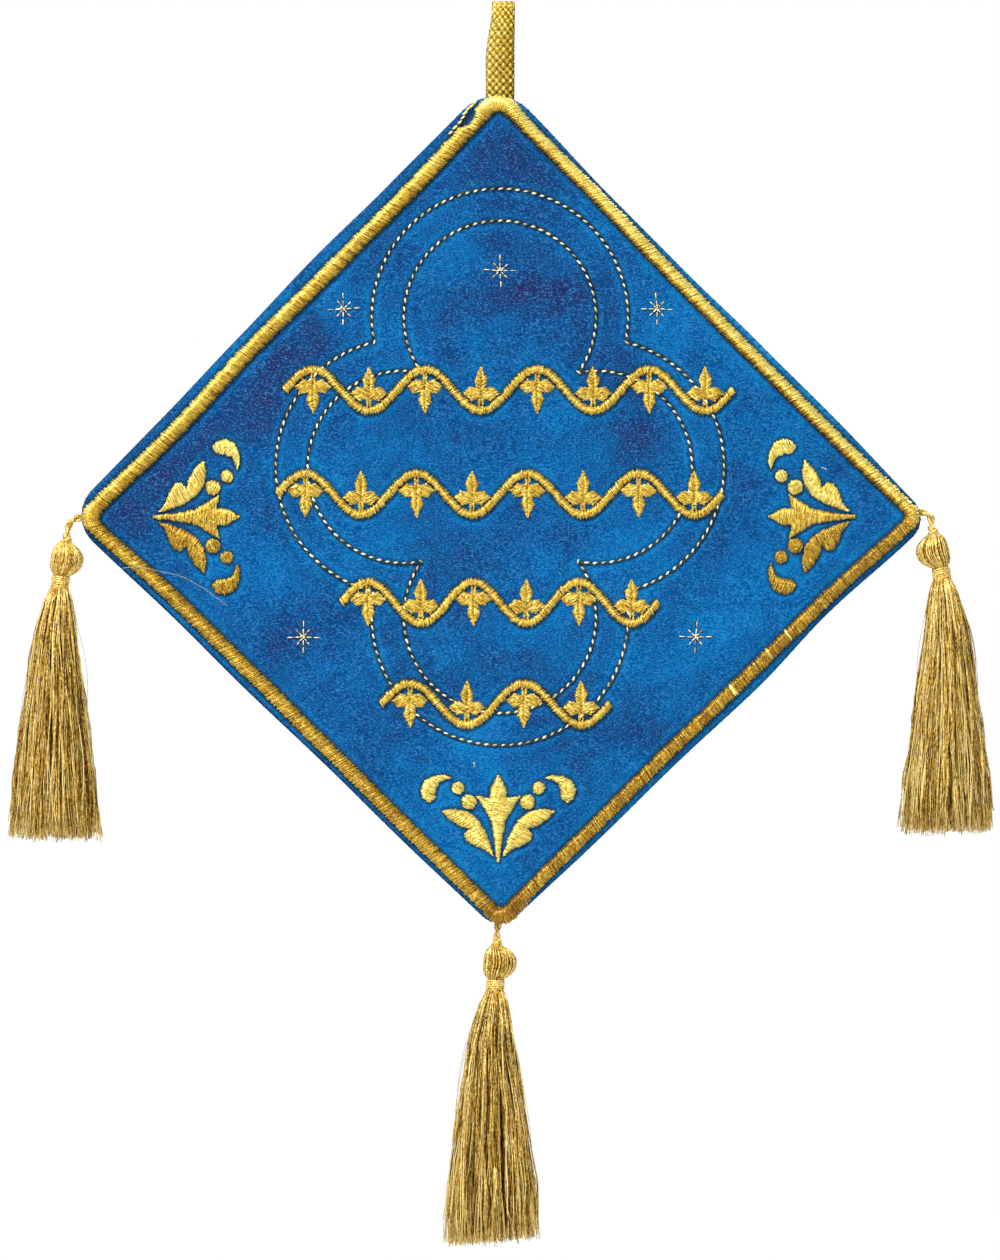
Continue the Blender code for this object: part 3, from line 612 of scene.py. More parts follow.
class Ground:
    """How deep one face of a CAD node lies over the plane of the front, smoothed."""

    STEP = 1.5
    MARGIN = 4.0
    KERNEL = np.array([1, 4, 6, 4, 1]) / 16

    def __init__(self, node: bpy.types.Object, looks_back: bool = False, inset: float = 3.0) -> None:
        """Reads the face with rays.

        Args:
            node: the CAD node.
            looks_back: whether the face is the one towards +Y.
            inset: how far inside the rim it is read for every place nearer the rim or past it.
        """
        mesh = node.data
        tree = BVHTree.FromPolygons([v.co for v in mesh.vertices], [p.vertices for p in mesh.polygons])
        low, high = (np.array(corner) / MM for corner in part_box(node.name))
        self.corner = low[[0, 2]] - self.MARGIN
        self.size = np.ceil((high - low)[[0, 2]] / self.STEP + 2 * self.MARGIN / self.STEP).astype(int)
        way = Vector((0, -1 if looks_back else 1, 0))
        cells = np.stack(np.meshgrid(*map(np.arange, self.size), indexing="ij"), axis=-1).reshape(-1, 2)
        found = []
        for x, z in drawn_in(self.corner + cells * self.STEP, inset):
            start = Vector((x, 0, z)) * MM - way * 0.1
            hit = tree.ray_cast(start, way)[0] or tree.find_nearest(start)[0]
            found.append(hit.y / MM)
        depth = np.reshape(found, self.size)
        for axis in (0, 1, 0, 1):
            depth = np.apply_along_axis(self._blur, axis, depth)
        self.map = depth

    def _blur(self, line: Array) -> Array:
        """One row or column of the map, smoothed."""
        return np.convolve(np.pad(line, 2, "edge"), self.KERNEL, "valid")

    def depth(self, places: Array) -> Array:
        """The Y of the face at places, the last axis being x and z."""
        at = (places - self.corner) / self.STEP
        at = np.clip(at, 0, self.size - 1.001)
        cell = at.astype(int)
        share = at - cell
        i, j = cell[..., 0], cell[..., 1]
        u, v = share[..., 0], share[..., 1]
        near = self.map[i, j] * (1 - u) + self.map[i + 1, j] * u
        far = self.map[i, j + 1] * (1 - u) + self.map[i + 1, j + 1] * u
        return near * (1 - v) + far * v


class Patch(NamedTuple):
    """A soft patch on the pile: below zero it is darker, above it lighter; partly where the pile lies another
    way, partly painted shade in creases and corners and painted highlight along rims.
    """

    x: float
    z: float
    length: float
    width: float
    degrees: float
    tone: float


PATCHES = (
    # Besides the pile's own mottling, the darker patches hold painted shade in the creases and at the top and
    # left corners
    Patch(-2, -38, 13, 12, 0, -0.22),
    Patch(4, -72, 20, 5, 8, -0.26),
    Patch(22, -84, 8, 16, 20, -0.16),
    Patch(-78, -112, 26, 9, 45, -0.20),
    Patch(-92, -124, 12, 16, 0, -0.16),
    Patch(-31, -62, 14, 5, 60, -0.16),
    Patch(-52, -88, 16, 6, 45, -0.14),
    Patch(34, -110, 5, 16, 4, -0.16),
    Patch(-36, -150, 22, 7, 20, -0.14),
    Patch(-14, -171, 18, 7, 10, -0.12),
    Patch(26, -180, 20, 7, -20, -0.10),
    Patch(52, -84, 26, 12, -45, 0.10),
    Patch(-48, -138, 20, 14, 30, 0.10),
    Patch(60, -148, 24, 12, 40, 0.12),
    Patch(28, -140, 24, 12, 0, 0.10),
    Patch(-2, -208, 24, 14, 0, 0.10),
    Patch(-10, -54, 12, 8, 30, 0.08),
    # Painted highlights along the rims of the upper right and lower right sides
    Patch(52.9, -72.8, 70, 1.9, -45.4, 0.32),
    Patch(53.4, -180.5, 70, 1.6, 43.8, 0.26),
    Patch(-10.2, -29.6, 3.2, 1.4, 52, -0.30),
)


def pile_lie_and_painted_light(places: Array) -> Array:
    """How light the patches make the pile at places, painted shade and painted highlights included."""
    tone = np.zeros(len(places))
    for patch in PATCHES:
        angle = math.radians(patch.degrees)
        east, north = places[:, 0] - patch.x, places[:, 1] - patch.z
        along = (east * math.cos(angle) + north * math.sin(angle)) / patch.length
        across = (north * math.cos(angle) - east * math.sin(angle)) / patch.width
        tone += patch.tone * np.exp(-(along**2 + across**2))
    return tone


@dataclass
class VelvetPanel:
    """One velvet panel: a thin sheet on its solid's folds, uneven as pile cloth is."""

    name: str
    node: str
    front: bool
    cells: int
    pressed_and_shaded: Array  # points of the lines that sewing presses into the cloth, along which shade and a bright halo are painted
    cut_side: float = 152.0
    cut_area: float = 22900.0
    roll: float = 1.3
    roll_depth: float = 0.45
    wrinkle: float = 0.12
    press_depth: float = 0.25
    press_reach: float = 0.9
    # A painted bright halo: how much paler the pile is painted in a ring round the sewing lines, how far out
    # the ring lies and how wide it is
    painted_halo: float = 0.16
    halo_place: float = 1.3
    halo_reach: float = 0.5
    # How wide the painted shade along the sewing lines is
    dark_reach: float = 0.55

    def places(self) -> Array:
        """The sheet's grid over the plane of the front, row by row."""
        rim = cloth_line(self.front)
        steps = 12, 400
        top_right, right_bottom, left_bottom, top_left = (
            self._spread(rim.side(side, *steps)[::way]) for side, way in ((0, 1), (1, 1), (2, -1), (3, -1))
        )
        u = np.linspace(0, 1, self.cells + 1)[None, :, None]
        v = np.linspace(0, 1, self.cells + 1)[:, None, None]
        across = top_left[:, None] * (1 - u) + right_bottom[:, None] * u
        down = top_right[None] * (1 - v) + left_bottom[None] * v
        flat = (top_right[0] * (1 - u) + top_right[-1] * u) * (1 - v)
        flat = flat + (left_bottom[0] * (1 - u) + left_bottom[-1] * u) * v
        return (across + down - flat).reshape(-1, 2)

    def _spread(self, line: Array) -> Array:
        """A side read again in as many steps as the sheet has cells."""
        length = np.linalg.norm(np.diff(line, axis=0), axis=1).sum()
        return evenly(line, length / self.cells)

    def relief(self, places: Array) -> Array:
        """How far the pile's unevenness and the sewing press the face in."""
        from_rim = distance_to_line(places, cloth_line(self.front).closed(24, 400))
        share = np.clip(from_rim / self.roll, 0, 1)
        depth = self.roll_depth * (1 - np.sqrt(1 - (1 - share) ** 2))
        lumps = [noise.noise(Vector((x / 4.0, z / 4.0, 1.5))) for x, z in places]
        ripples = [noise.noise(Vector((x / 1.9, z / 1.9, 7.5))) for x, z in places]
        depth += self.wrinkle * (np.array(lumps) + 0.6 * np.array(ripples)) * smooth_step(from_rim / 3)
        if len(self.pressed_and_shaded):
            away = distance_to_line(places, self.pressed_and_shaded) / self.press_reach
            depth += self.press_depth * np.exp(-(away**2))
        return depth

    def build(self, solid: bpy.types.Object, finishes: Finishes, holder: str) -> bpy.types.Object:
        """Makes the sheet.

        Args:
            solid: the panel's CAD node.
            finishes: the materials.
            holder: the piece that the panel hangs from; it is not used.

        Returns:
            The piece.
        """
        way = 1 if self.front else -1
        outer_face = Ground(solid, looks_back=not self.front)
        inner_face = Ground(solid, looks_back=self.front, inset=1.0)
        places = self.places()
        depths = outer_face.depth(places) + way * self.relief(places)
        bm = bmesh.new()
        bmesh.ops.create_grid(bm, x_segments=self.cells, y_segments=self.cells, size=1.0)
        outer = sorted(bm.verts, key=lambda v: (round(v.co.y, 5), round(v.co.x, 5)))
        for vert, (x, z), y in zip(outer, places * MM, depths * MM):
            vert.co = (x, y, z)
        grown = bmesh.ops.extrude_face_region(bm, geom=bm.faces[:])["geom"]
        inner = [part for part in grown if isinstance(part, bmesh.types.BMVert)]
        under = np.array([(v.co.x, v.co.z) for v in inner]) / MM
        least = np.array([v.co.y for v in inner]) / MM + way * 0.25
        deeper = np.maximum if self.front else np.minimum
        for vert, y in zip(inner, deeper(inner_face.depth(under), least) * MM):
            vert.co.y = y
        bmesh.ops.recalc_face_normals(bm, faces=bm.faces)
        mesh = bpy.data.meshes.new(self.name)
        bm.to_mesh(mesh)
        bm.free()
        # This attribute carries the pile's patches with their painted shade and painted highlights, and the
        # painted halo
        lie = mesh.attributes.new("lie", "FLOAT", "POINT")
        where = np.array([(v.co.x, v.co.z) for v in mesh.vertices]) / MM
        shade, dark = pile_lie_and_painted_light(where), np.zeros(len(where))
        if len(self.pressed_and_shaded):
            away = distance_to_line(where, self.pressed_and_shaded)
            # Painted highlight: a pale ring round every sewing line
            shade += self.painted_halo * np.exp(-(((away - self.halo_place) / self.halo_reach) ** 2))
            # Painted shade along the sewing lines, kept as its own mask
            dark = np.exp(-((away / self.dark_reach) ** 2))
        lie.data.foreach_set("value", shade.astype(np.float32))
        pressed_and_shaded = mesh.attributes.new("pressed_and_shaded", "FLOAT", "POINT")
        pressed_and_shaded.data.foreach_set("value", dark.astype(np.float32))
        piece = finish_object(mesh, finishes.velvet, [self.node])
        return piece


ROUND_ARCH = ((0, 0), (0.06, 0.42), (0.2, 0.82), (0.4, 0.99), (0.6, 0.99), (0.8, 0.82), (0.94, 0.42), (1, 0))


@dataclass
class SatinStitch:
    """How satin stitches lie: close side by side, each arched over its padding."""

    ground: Ground
    seed: int = 3
    pitch: float = 0.30
    radius: float = 0.165
    rings: int = 7
    fill_rings: int = 5
    ragged: float = 0.26
    sink: float = 0.15
    longest: float = 2.8
    tone_spread: float = 0.09
    fleck: float = 0.13
    uneven: float = 0.03

    def __post_init__(self) -> None:
        """Starts the random numbers."""
        self.random = np.random.default_rng(self.seed)

    def lay(
        self, threads: Threads, starts: Array, ends: Array, height: Array | float, tone: Array | float = 0.5,
        padding: Callable[[Array], Array] | None = None,
    ) -> None:
        """Lays one stitch from each start to each end.

        Args:
            threads: what the stitches are added to.
            starts: places on the front, one a row.
            ends: the other end of each stitch.
            height: how far a stitch stands off the cloth at its highest.
            tone: the middle of the stitches' tones, for all or for the start, middle and end of each.
            padding: how far the padding lifts the stitch at places on the front, if it is padded.
        """
        count, rings = len(starts), self.fill_rings if padding else self.rings
        if not count:
            return
        along = unit(ends - starts)
        least = -0.3 if padding else -1.0
        starts = starts - along * self.random.uniform(least, 1, (count, 1)) * self.ragged
        ends = ends + along * self.random.uniform(least, 1, (count, 1)) * self.ragged
        share = (0.5 - 0.5 * np.cos(np.linspace(0, np.pi, rings)))[None, :, None]
        flat = starts[:, None] * (1 - share) + ends[:, None] * share
        sag = self.random.normal(0, 0.05, (count, 1, 1))
        flat = flat + left_of(along)[:, None] * sag * np.sin(np.pi * share)
        rise = np.interp(share[..., 0], *np.array(ROUND_ARCH).T) * np.broadcast_to(height, count)[:, None]
        rise = rise * self.random.normal(1, self.uneven, (count, 1))
        if padding:
            rise = rise + padding(flat)
        sink = 0.0 if padding else self.sink
        depth = self.ground.depth(flat) - rise + sink * (1 - np.sin(np.pi * share[..., 0]))
        first, crest, last = np.broadcast_to(np.asarray(tone, float).T, (3, count))[..., None]
        early, late = np.clip(1 - 2 * share[..., 0], 0, 1), np.clip(2 * share[..., 0] - 1, 0, 1)
        tones = first * early + crest * (1 - early - late) + last * late
        tones = tones + self.random.normal(0, self.tone_spread, (count, 1))
        tones = tones + self.random.normal(0, self.fleck, tones.shape)
        radius = self.radius * self.random.uniform(0.8, 1.15, (count, 1)) * np.ones((1, rings))
        radius[:, [0, -1]] *= 0.75
        threads.add(at_depth(flat, depth), radius, tones)

    def fill(
        self, threads: Threads, outline: Array, degrees: float, height: float, tone: float = 0.5
    ) -> None:
        """Fills an outline with parallel stitches, the long ones broken at staggered places.

        Args:
            threads: what the stitches are added to.
            outline: the points of a closed shape on the front.
            degrees: the way that the stitches run, from +X towards +Z.
            height: how far the widest part stands off the cloth.
            tone: the middle of the stitches' tones.
        """
        turn = turning(degrees)
        flat = outline @ turn.T
        starts, ends = [], []
        for level in np.arange(flat[:, 1].min() + self.pitch / 2, flat[:, 1].max(), self.pitch):
            after = np.roll(flat, -1, axis=0)
            cut = (flat[:, 1] > level) != (after[:, 1] > level)
            share = (level - flat[cut, 1]) / (after[cut, 1] - flat[cut, 1])
            crossings = np.sort(flat[cut, 0] + share * (after[cut, 0] - flat[cut, 0]))
            for low, high in crossings.reshape(-1, 2):
                parts = int((high - low) / self.longest) + 1
                breaks = low + (high - low) * np.arange(1, parts) / parts
                breaks = breaks + self.random.uniform(-0.5, 0.5, parts - 1) * (high - low) / parts
                stops = [low, *breaks, high]
                starts += [(place, level) for place in stops[:-1]]
                ends += [(place, level) for place in stops[1:]]
        if not starts:
            return
        rim = evenly(outline, 0.3, closed=True)

        def padding(flat: Array) -> Array:
            """A soft dome over the outline."""
            away = distance_to_line(flat.reshape(-1, 2), rim).reshape(flat.shape[:2])
            return (height - 0.2) * np.sqrt(smooth_step(away / 1.5))

        self.lay(threads, np.array(starts) @ turn, np.array(ends) @ turn, 0.2, tone, padding=padding)


class Spill(NamedTuple):
    """A place where the border spreads over the rim: how far round it, which way, and its tone: painted light
    above zero, painted shade below.
    """

    x: float
    z: float
    reach: float
    across: float
    up: float
    tone: float


@dataclass
class Border:
    """The satin-stitch ridge round the front, with its worn spot and its pale joining stitches."""

    stitch: SatinStitch
    height: float = 1.3
    arc_steps: int = 24
    line_steps: int = 484
    slant: int = 2
    worn: Place = (-9.0, -28.0)
    worn_reach: float = 3.4
    spills: tuple[Spill, ...] = (
        # The top corner's spill adds painted light, the bottom corner's painted shade
        Spill(-1.3, -23.4, 7.5, 0.0, 1.0, 0.10), Spill(0.8, -227.0, 6.5, 0.5, -0.7, -0.26),
    )
    joints: tuple[Place, ...] = (
        (-90.6, -115.8), (-74.4, -154.3), (9.1, -217.8), (71.6, -157.8), (66.1, -162.0), (57.6, -171.3),
    )

    def edges(self) -> tuple[Array, Array]:
        """The outer and the inner edge, point by point."""
        found = []
        outer_radii, inner_radii = ([c.outer_radius for c in CORNERS], [c.inner_radius for c in CORNERS])
        for away, radii in ((-0.5, outer_radii), (0.5, inner_radii)):
            insets = [
                tuple(inset + away * side.border_width for inset in side.border_insets) for side in SIDES
            ]
            line = Lozenge(insets, radii, [side.border_bows for side in SIDES])
            found.append(line.closed(self.arc_steps, self.line_steps))
        return found[0], np.roll(found[1], self.slant, axis=0)

    def build(self, finishes: Finishes) -> None:
        """Makes the border and its loose stitches."""
        threads = Threads()
        outer, inner = self.edges()
        middle = (outer + inner) / 2
        away = np.linalg.norm(middle - self.worn, axis=1)
        bare = np.clip(1 - away / self.worn_reach, 0, 1)[:, None] ** 0.5 * 0.62
        outer = outer * (1 - bare) + inner * bare
        drift = np.array([noise.noise(Vector((x / 7, z / 7, 3.0))) for x, z in middle])
        # Painted light and shade on the border: each side's painted sheen, with a random drift
        tone = self.painted_sheen() + 0.08 * drift[:, None]
        for spill in self.spills:
            near = np.exp(-((np.linalg.norm(middle - spill[:2], axis=1) / spill.reach) ** 4))[:, None]
            outer = outer + np.array([spill.across, spill.up]) * near
            # Each spill adds its painted light at the top corner and its painted shade at the bottom
            tone = tone + spill.tone * near
        for joint in self.joints:
            near = np.linalg.norm(middle - joint, axis=1) < 0.5
            tone[near] = 1.15
        height = self.height * (1 - 0.35 * bare[:, 0]) * (1 + 0.10 * drift)
        self.stitch.lay(threads, outer, inner, height, tone)
        threads.piece("border_stitches", finishes.satin, Slot.SATIN, ["satin_border"])
        self.loose(finishes)

    def painted_sheen(self) -> Array:
        """The painted sheen: how pale the thread is painted at its edges and along its crest, point by point,
        blended round the corners.
        """
        steps = 2 * self.arc_steps + self.line_steps
        tones = np.repeat([side.painted_sheen for side in SIDES], steps, axis=0)
        width = 2 * self.arc_steps
        ends = np.vstack([tones[-width:], tones, tones[:width]])
        kernel = np.ones(2 * width + 1) / (2 * width + 1)
        return np.stack([np.convolve(column, kernel, "valid") for column in ends.T], axis=1)

    def loose(self, finishes: Finishes) -> None:
        """The single slack stitches over the worn spot."""
        threads = Threads(sides=5)
        spots = smooth_route(np.array([(-13.0, -32.2), (-10.4, -29.2), (-8.9, -26.6), (-7.0, -24.8)]), 7)
        slack = SatinStitch(self.stitch.ground, seed=8, radius=0.26, ragged=0.1)
        slack.lay(threads, spots + (-0.70, -0.20), spots + (0.30, 0.60), 0.5, 1.0)
        threads.piece("border_loose_stitches", finishes.satin, Slot.SATIN)


class Sprig(NamedTuple):
    """Where a leaf sprig starts, and the way it grows, in degrees from +X towards +Z."""

    name: str
    x: float
    z: float
    degrees: float


SPRIGS = (
    Sprig("left", -87.5, -128.0, 0),
    Sprig("right", 87.8, -127.9, 180),
    Sprig("bottom", -1.3, -214.1, 90),
)
# Outlines on one side, along and across from the sprig's foot
SPRIG_BLADE = ((0, 0.3), (5, 0.8), (10.5, 1.8), (16.4, 5.4), (15.8, 2.0), (18.2, 2.0), (21.6, 0))
SPRIG_LEAF = (
    (1.4, 1.3), (3.0, 3.2), (3.9, 5.8), (5.4, 8.2), (7.0, 8.5), (8.3, 6.9), (8.8, 9.4),
    (10.5, 12.1), (12.6, 14.0), (13.2, 11.2), (12.5, 7.8), (10.6, 5.2), (7.6, 3.3), (3.6, 1.8),
)
SPRIG_SCROLL = (
    (14.7, 17.3), (15.8, 18.9), (18.0, 19.4), (20.2, 18.3), (21.4, 16.0), (21.6, 13.2),
    (20.9, 11.7), (20.4, 13.6), (19.6, 15.0), (18.0, 15.6), (15.7, 15.9),
)
SPRIG_BEADS = ((14.9, 7.3, 1.8), (18.4, 10.1, 1.5))
PALMETTE_HALF = ((0, 0.5), (3.0, 0.6), (2.5, 2.4), (4.3, 4.5), (6.0, 2.9), (5.7, 1.1), (7.8, 1.6), (11.0, 0))


@dataclass
class SprigWork:
    """The three leaf sprigs in satin stitch."""

    stitch: SatinStitch
    height: float = 0.85
    bead_sides: int = 14

    def shapes(self) -> list[tuple[str, Array, float]]:
        """Each shape's name, its outline in the sprig's own frame, and the way its stitches run."""
        blade = list(SPRIG_BLADE) + [(along, -across) for along, across in reversed(SPRIG_BLADE) if across]
        found = [("blade", np.array(blade, float), 84.0)]
        for side, flip in (("a", 1), ("b", -1)):
            found.append((f"leaf_{side}", np.array(SPRIG_LEAF) * (1, flip), flip * 118.0))
            found.append((f"scroll_{side}", np.array(SPRIG_SCROLL) * (1, flip), flip * 70.0))
            for number, (along, across, radius) in enumerate(SPRIG_BEADS, start=1):
                turn = 2 * np.pi * np.arange(self.bead_sides) / self.bead_sides
                ring = np.stack([along + radius * np.cos(turn), across + radius * np.sin(turn)], axis=1)
                found.append((f"bead_{side}{number}", ring * (1, flip), flip * 62.0))
        return found

    @staticmethod
    def placed(spot: Sprig, outline: Array) -> Array:
        """An outline moved from the sprig's own frame to its place on the front."""
        return outline @ turning(spot.degrees) + (spot.x, spot.z)

    def pressed_and_shaded(self) -> Array:
        """Points along every outline, for the cloth."""
        outlines = [self.placed(spot, outline) for spot in SPRIGS for _, outline, _ in self.shapes()]
        return np.vstack([evenly(outline, 0.6, closed=True) for outline in outlines])

    def build(self, finishes: Finishes) -> None:
        """Makes every shape of every sprig."""
        for spot in SPRIGS:
            for name, outline, degrees in self.shapes():
                threads = Threads()
                placed = self.placed(spot, outline)
                # Painted light: shapes higher above the sprig's foot are painted paler, lower ones darker
                tone = 0.5 + 0.03 * np.clip(placed.mean(axis=0)[1] - spot.z, -8, 8)
                self.stitch.fill(threads, placed, degrees + spot.degrees, self.height, tone)
                node = f"sprig_{spot.name}_{name}"
                threads.piece(f"{node}_stitches", finishes.satin, Slot.SATIN, [node])


class Band(NamedTuple):
    """A row of undulating vine: its middle, its width and how many half waves it holds."""

    name: str
    x: float
    z: float
    width: float
    half_waves: int


BANDS = (
    Band("1", 1.4, -96.3, 112, 8),
    Band("2", -0.9, -122.3, 111, 8),
    Band("3", -0.9, -149.4, 79, 6),
    Band("4", -2.0, -174.8, 57, 4),
)


@dataclass
class VineWork:
    """The four bands of vine in satin stitch."""

    stitch: SatinStitch
    stem_width: float = 1.85
    stem_height: float = 0.8
    stem_swing: float = 5.2
    leaf_height: float = 0.7

    def stem_line(self, band: Band, step: float) -> tuple[Array, Array, Array]:
        """The stem's middle line at a step, the way along it, and half its width across it."""
        pitch = band.width / band.half_waves
        wave = np.linspace(0, band.half_waves, band.half_waves * 80 + 1)
        line = np.stack([wave * pitch - band.width / 2, self.stem_swing * np.sin(np.pi * wave)], axis=1)
        line = evenly(line + (band.x, band.z), step)
        along = unit(np.gradient(line, axis=0))
        return line, along, left_of(along) * self.stem_width / 2

    def pressed_and_shaded(self) -> Array:
        """Points along both sides of every stem, for the cloth."""
        stems = [self.stem_line(band, 0.7) for band in BANDS]
        return np.vstack([line + side * across for line, _, across in stems for side in (-1, 1)])

    def stem(self, threads: Threads, band: Band) -> None:
        """Stitches straight across the stem."""
        line, along, across = self.stem_line(band, self.stitch.pitch)
        across = across + along * 0.25
        self.stitch.lay(threads, line + across, line - across, self.stem_height, 0.5)

    def leaves(self, threads: Threads, band: Band) -> None:
        """A palmette in each hollow of the stem, its stitches slanting away from its middle."""
        pitch = band.width / band.half_waves
        half = np.array(PALMETTE_HALF)
        for wave in range(band.half_waves):
            growing = -1 if wave % 2 == 0 else 1
            crest = ((wave + 0.5) * pitch - band.width / 2, -growing * self.stem_swing)
            for flip in (-1, 1):
                inner_line = np.stack([half[:, 0], np.zeros(len(half))], axis=1)[::-1]
                outline = np.vstack([half, inner_line[1:-1]])
                placed = np.stack([flip * outline[:, 1], growing * outline[:, 0]], axis=1)
                placed = placed + crest + (band.x, band.z)
                slant = 28 * flip * growing + (180 if flip < 0 else 0)
                self.stitch.fill(threads, placed, slant, self.leaf_height, 0.5)

    def build(self, finishes: Finishes) -> None:
        """Makes the four bands."""
        for band in BANDS:
            threads = Threads()
            self.leaves(threads, band)
            self.stem(threads, band)
            node = f"vine_band_{band.name}"
            threads.piece(f"{node}_stitches", finishes.satin, Slot.SATIN, [node])


@dataclass
class Medallion:
    """A double four-lobed line of running stitch with small stars round it, and dark stitches beside them as
    painted shadow.
    """

    ground: Ground
    seed: int = 11
    centre: Place = (-0.9, -115.5)
    heart: float = 20.0
    lobe_ways: tuple[Place, ...] = ((0, 37.5), (24.0, 0), (0, -37.5), (-24.0, 0))
    radii: Place = (32.0, 24.0)
    pitch: float = 2.1
    stitch_length: float = 1.25
    stitch_radius: float = 0.28
    shadow_radius: float = 0.22
    swing: float = 0.16
    shadow_shift: float = 0.30
    dip: float = 0.22
    stars: tuple[Place, ...] = ((-0.9, -66.5), (-40.0, -76.0), (38.4, -76.0), (-50.0, -158.0), (48.0, -158.0))
    ray: float = 4.2

    def __post_init__(self) -> None:
        """Starts the random numbers."""
        self.random = np.random.default_rng(self.seed)

    def line(self, radius: float) -> Array:
        """The outer line of four overlapping circles, once round."""
        ways = np.array(self.lobe_ways)
        points = []
        for index, middle in enumerate(ways):
            heading = math.atan2(middle[1], middle[0])
            turn = np.linspace(heading + np.pi, heading - np.pi, 720)
            ring = middle + radius * np.stack([np.cos(turn), np.sin(turn)], axis=1)
            others = np.delete(ways, index, axis=0)
            clear = np.linalg.norm(ring[:, None] - others[None], axis=2).min(axis=1) >= radius
            clear &= np.linalg.norm(ring, axis=1) > self.heart
            points.append(ring[clear])
        return np.vstack(points) + self.centre

    def lines(self) -> list[Array]:
        """Both lines, with a point at the middle of each stitch."""
        return [evenly(self.line(radius), self.pitch, closed=True) for radius in self.radii]

    def pressed_and_shaded(self) -> Array:
        """Fine points along both lines, for the cloth."""
        return np.vstack([evenly(self.line(radius), 0.7, closed=True) for radius in self.radii])

    def dash(self, threads: Threads, starts: Array, ends: Array, radius: float, rise: float) -> None:
        """Adds short plump stitches that dip into the cloth at both ends."""
        share = np.linspace(0, 1, 7)[None, :, None]
        flat = starts[:, None] * (1 - share) + ends[:, None] * share
        arch = np.sin(np.pi * share[..., 0])
        depth = self.ground.depth(flat) + self.dip - (rise + self.dip) * arch**0.8
        size = self.random.uniform(0.8, 1.15, (len(starts), 1))
        tones = self.random.normal(0.55, 0.28, len(starts))
        threads.add(at_depth(flat, depth), radius * size * (0.35 + 0.65 * arch**0.7), tones)

    def build(self, finishes: Finishes) -> None:
        """Makes the light stitches of the lines and of the stars, and the dark stitches beside them that are
        painted shadow.
        """
        light, dark = Threads(sides=6), Threads(sides=4)
        for middle in self.lines():
            along = unit(np.roll(middle, -1, axis=0) - np.roll(middle, 1, axis=0))
            half = along * self.stitch_length / 2 * self.random.uniform(0.85, 1.1, (len(middle), 1))
            swing = left_of(along) * self.swing
            self.dash(light, middle - half - swing, middle + half + swing, self.stitch_radius, 0.30)
            # Painted shadow: dark stitches just outside the line, from each light stitch to the next
            outside = left_of(along) * self.shadow_shift
            begin = middle + half * 0.1 + outside
            end = np.roll(middle - half * 0.1, -1, axis=0) + outside
            self.dash(dark, begin, end, self.shadow_radius, 0.10)
        for star in self.stars:
            self.star(light, dark, np.array(star))
        light.piece("running_stitches", finishes.pale_stitch, Slot.SATIN)
        dark.piece("running_stitches_painted_shadow", finishes.painted_shadow_stitch, Slot.SATIN)

    def star(self, light: Threads, dark: Threads, middle: Array) -> None:
        """Eight rays of two short stitches each, the slanting ones shorter, each with a dark stitch beside it
        as painted shadow.
        """
        for number in range(8):
            angle = math.pi * number / 4 + self.random.normal(0, 0.06)
            way = np.array([math.cos(angle), math.sin(angle)])
            reach = self.ray * (1.0 if number % 2 == 0 else 0.62)
            stops = np.array([0.15, 0.52, 0.58, 1.0]) * reach
            points = middle + way * stops[:, None]
            beside = np.array([-way[1], way[0]]) * 0.22
            self.dash(light, points[[0, 2]], points[[1, 3]], 0.15, 0.22)
            self.dash(dark, points[[0, 2]] + beside, points[[1, 3]] + beside, 0.16, 0.10)
        near = middle + self.random.normal(0, 0.3, (4, 2))
        self.dash(light, near - (0.3, 0.2), near + (0.3, 0.2), 0.22, 0.35)


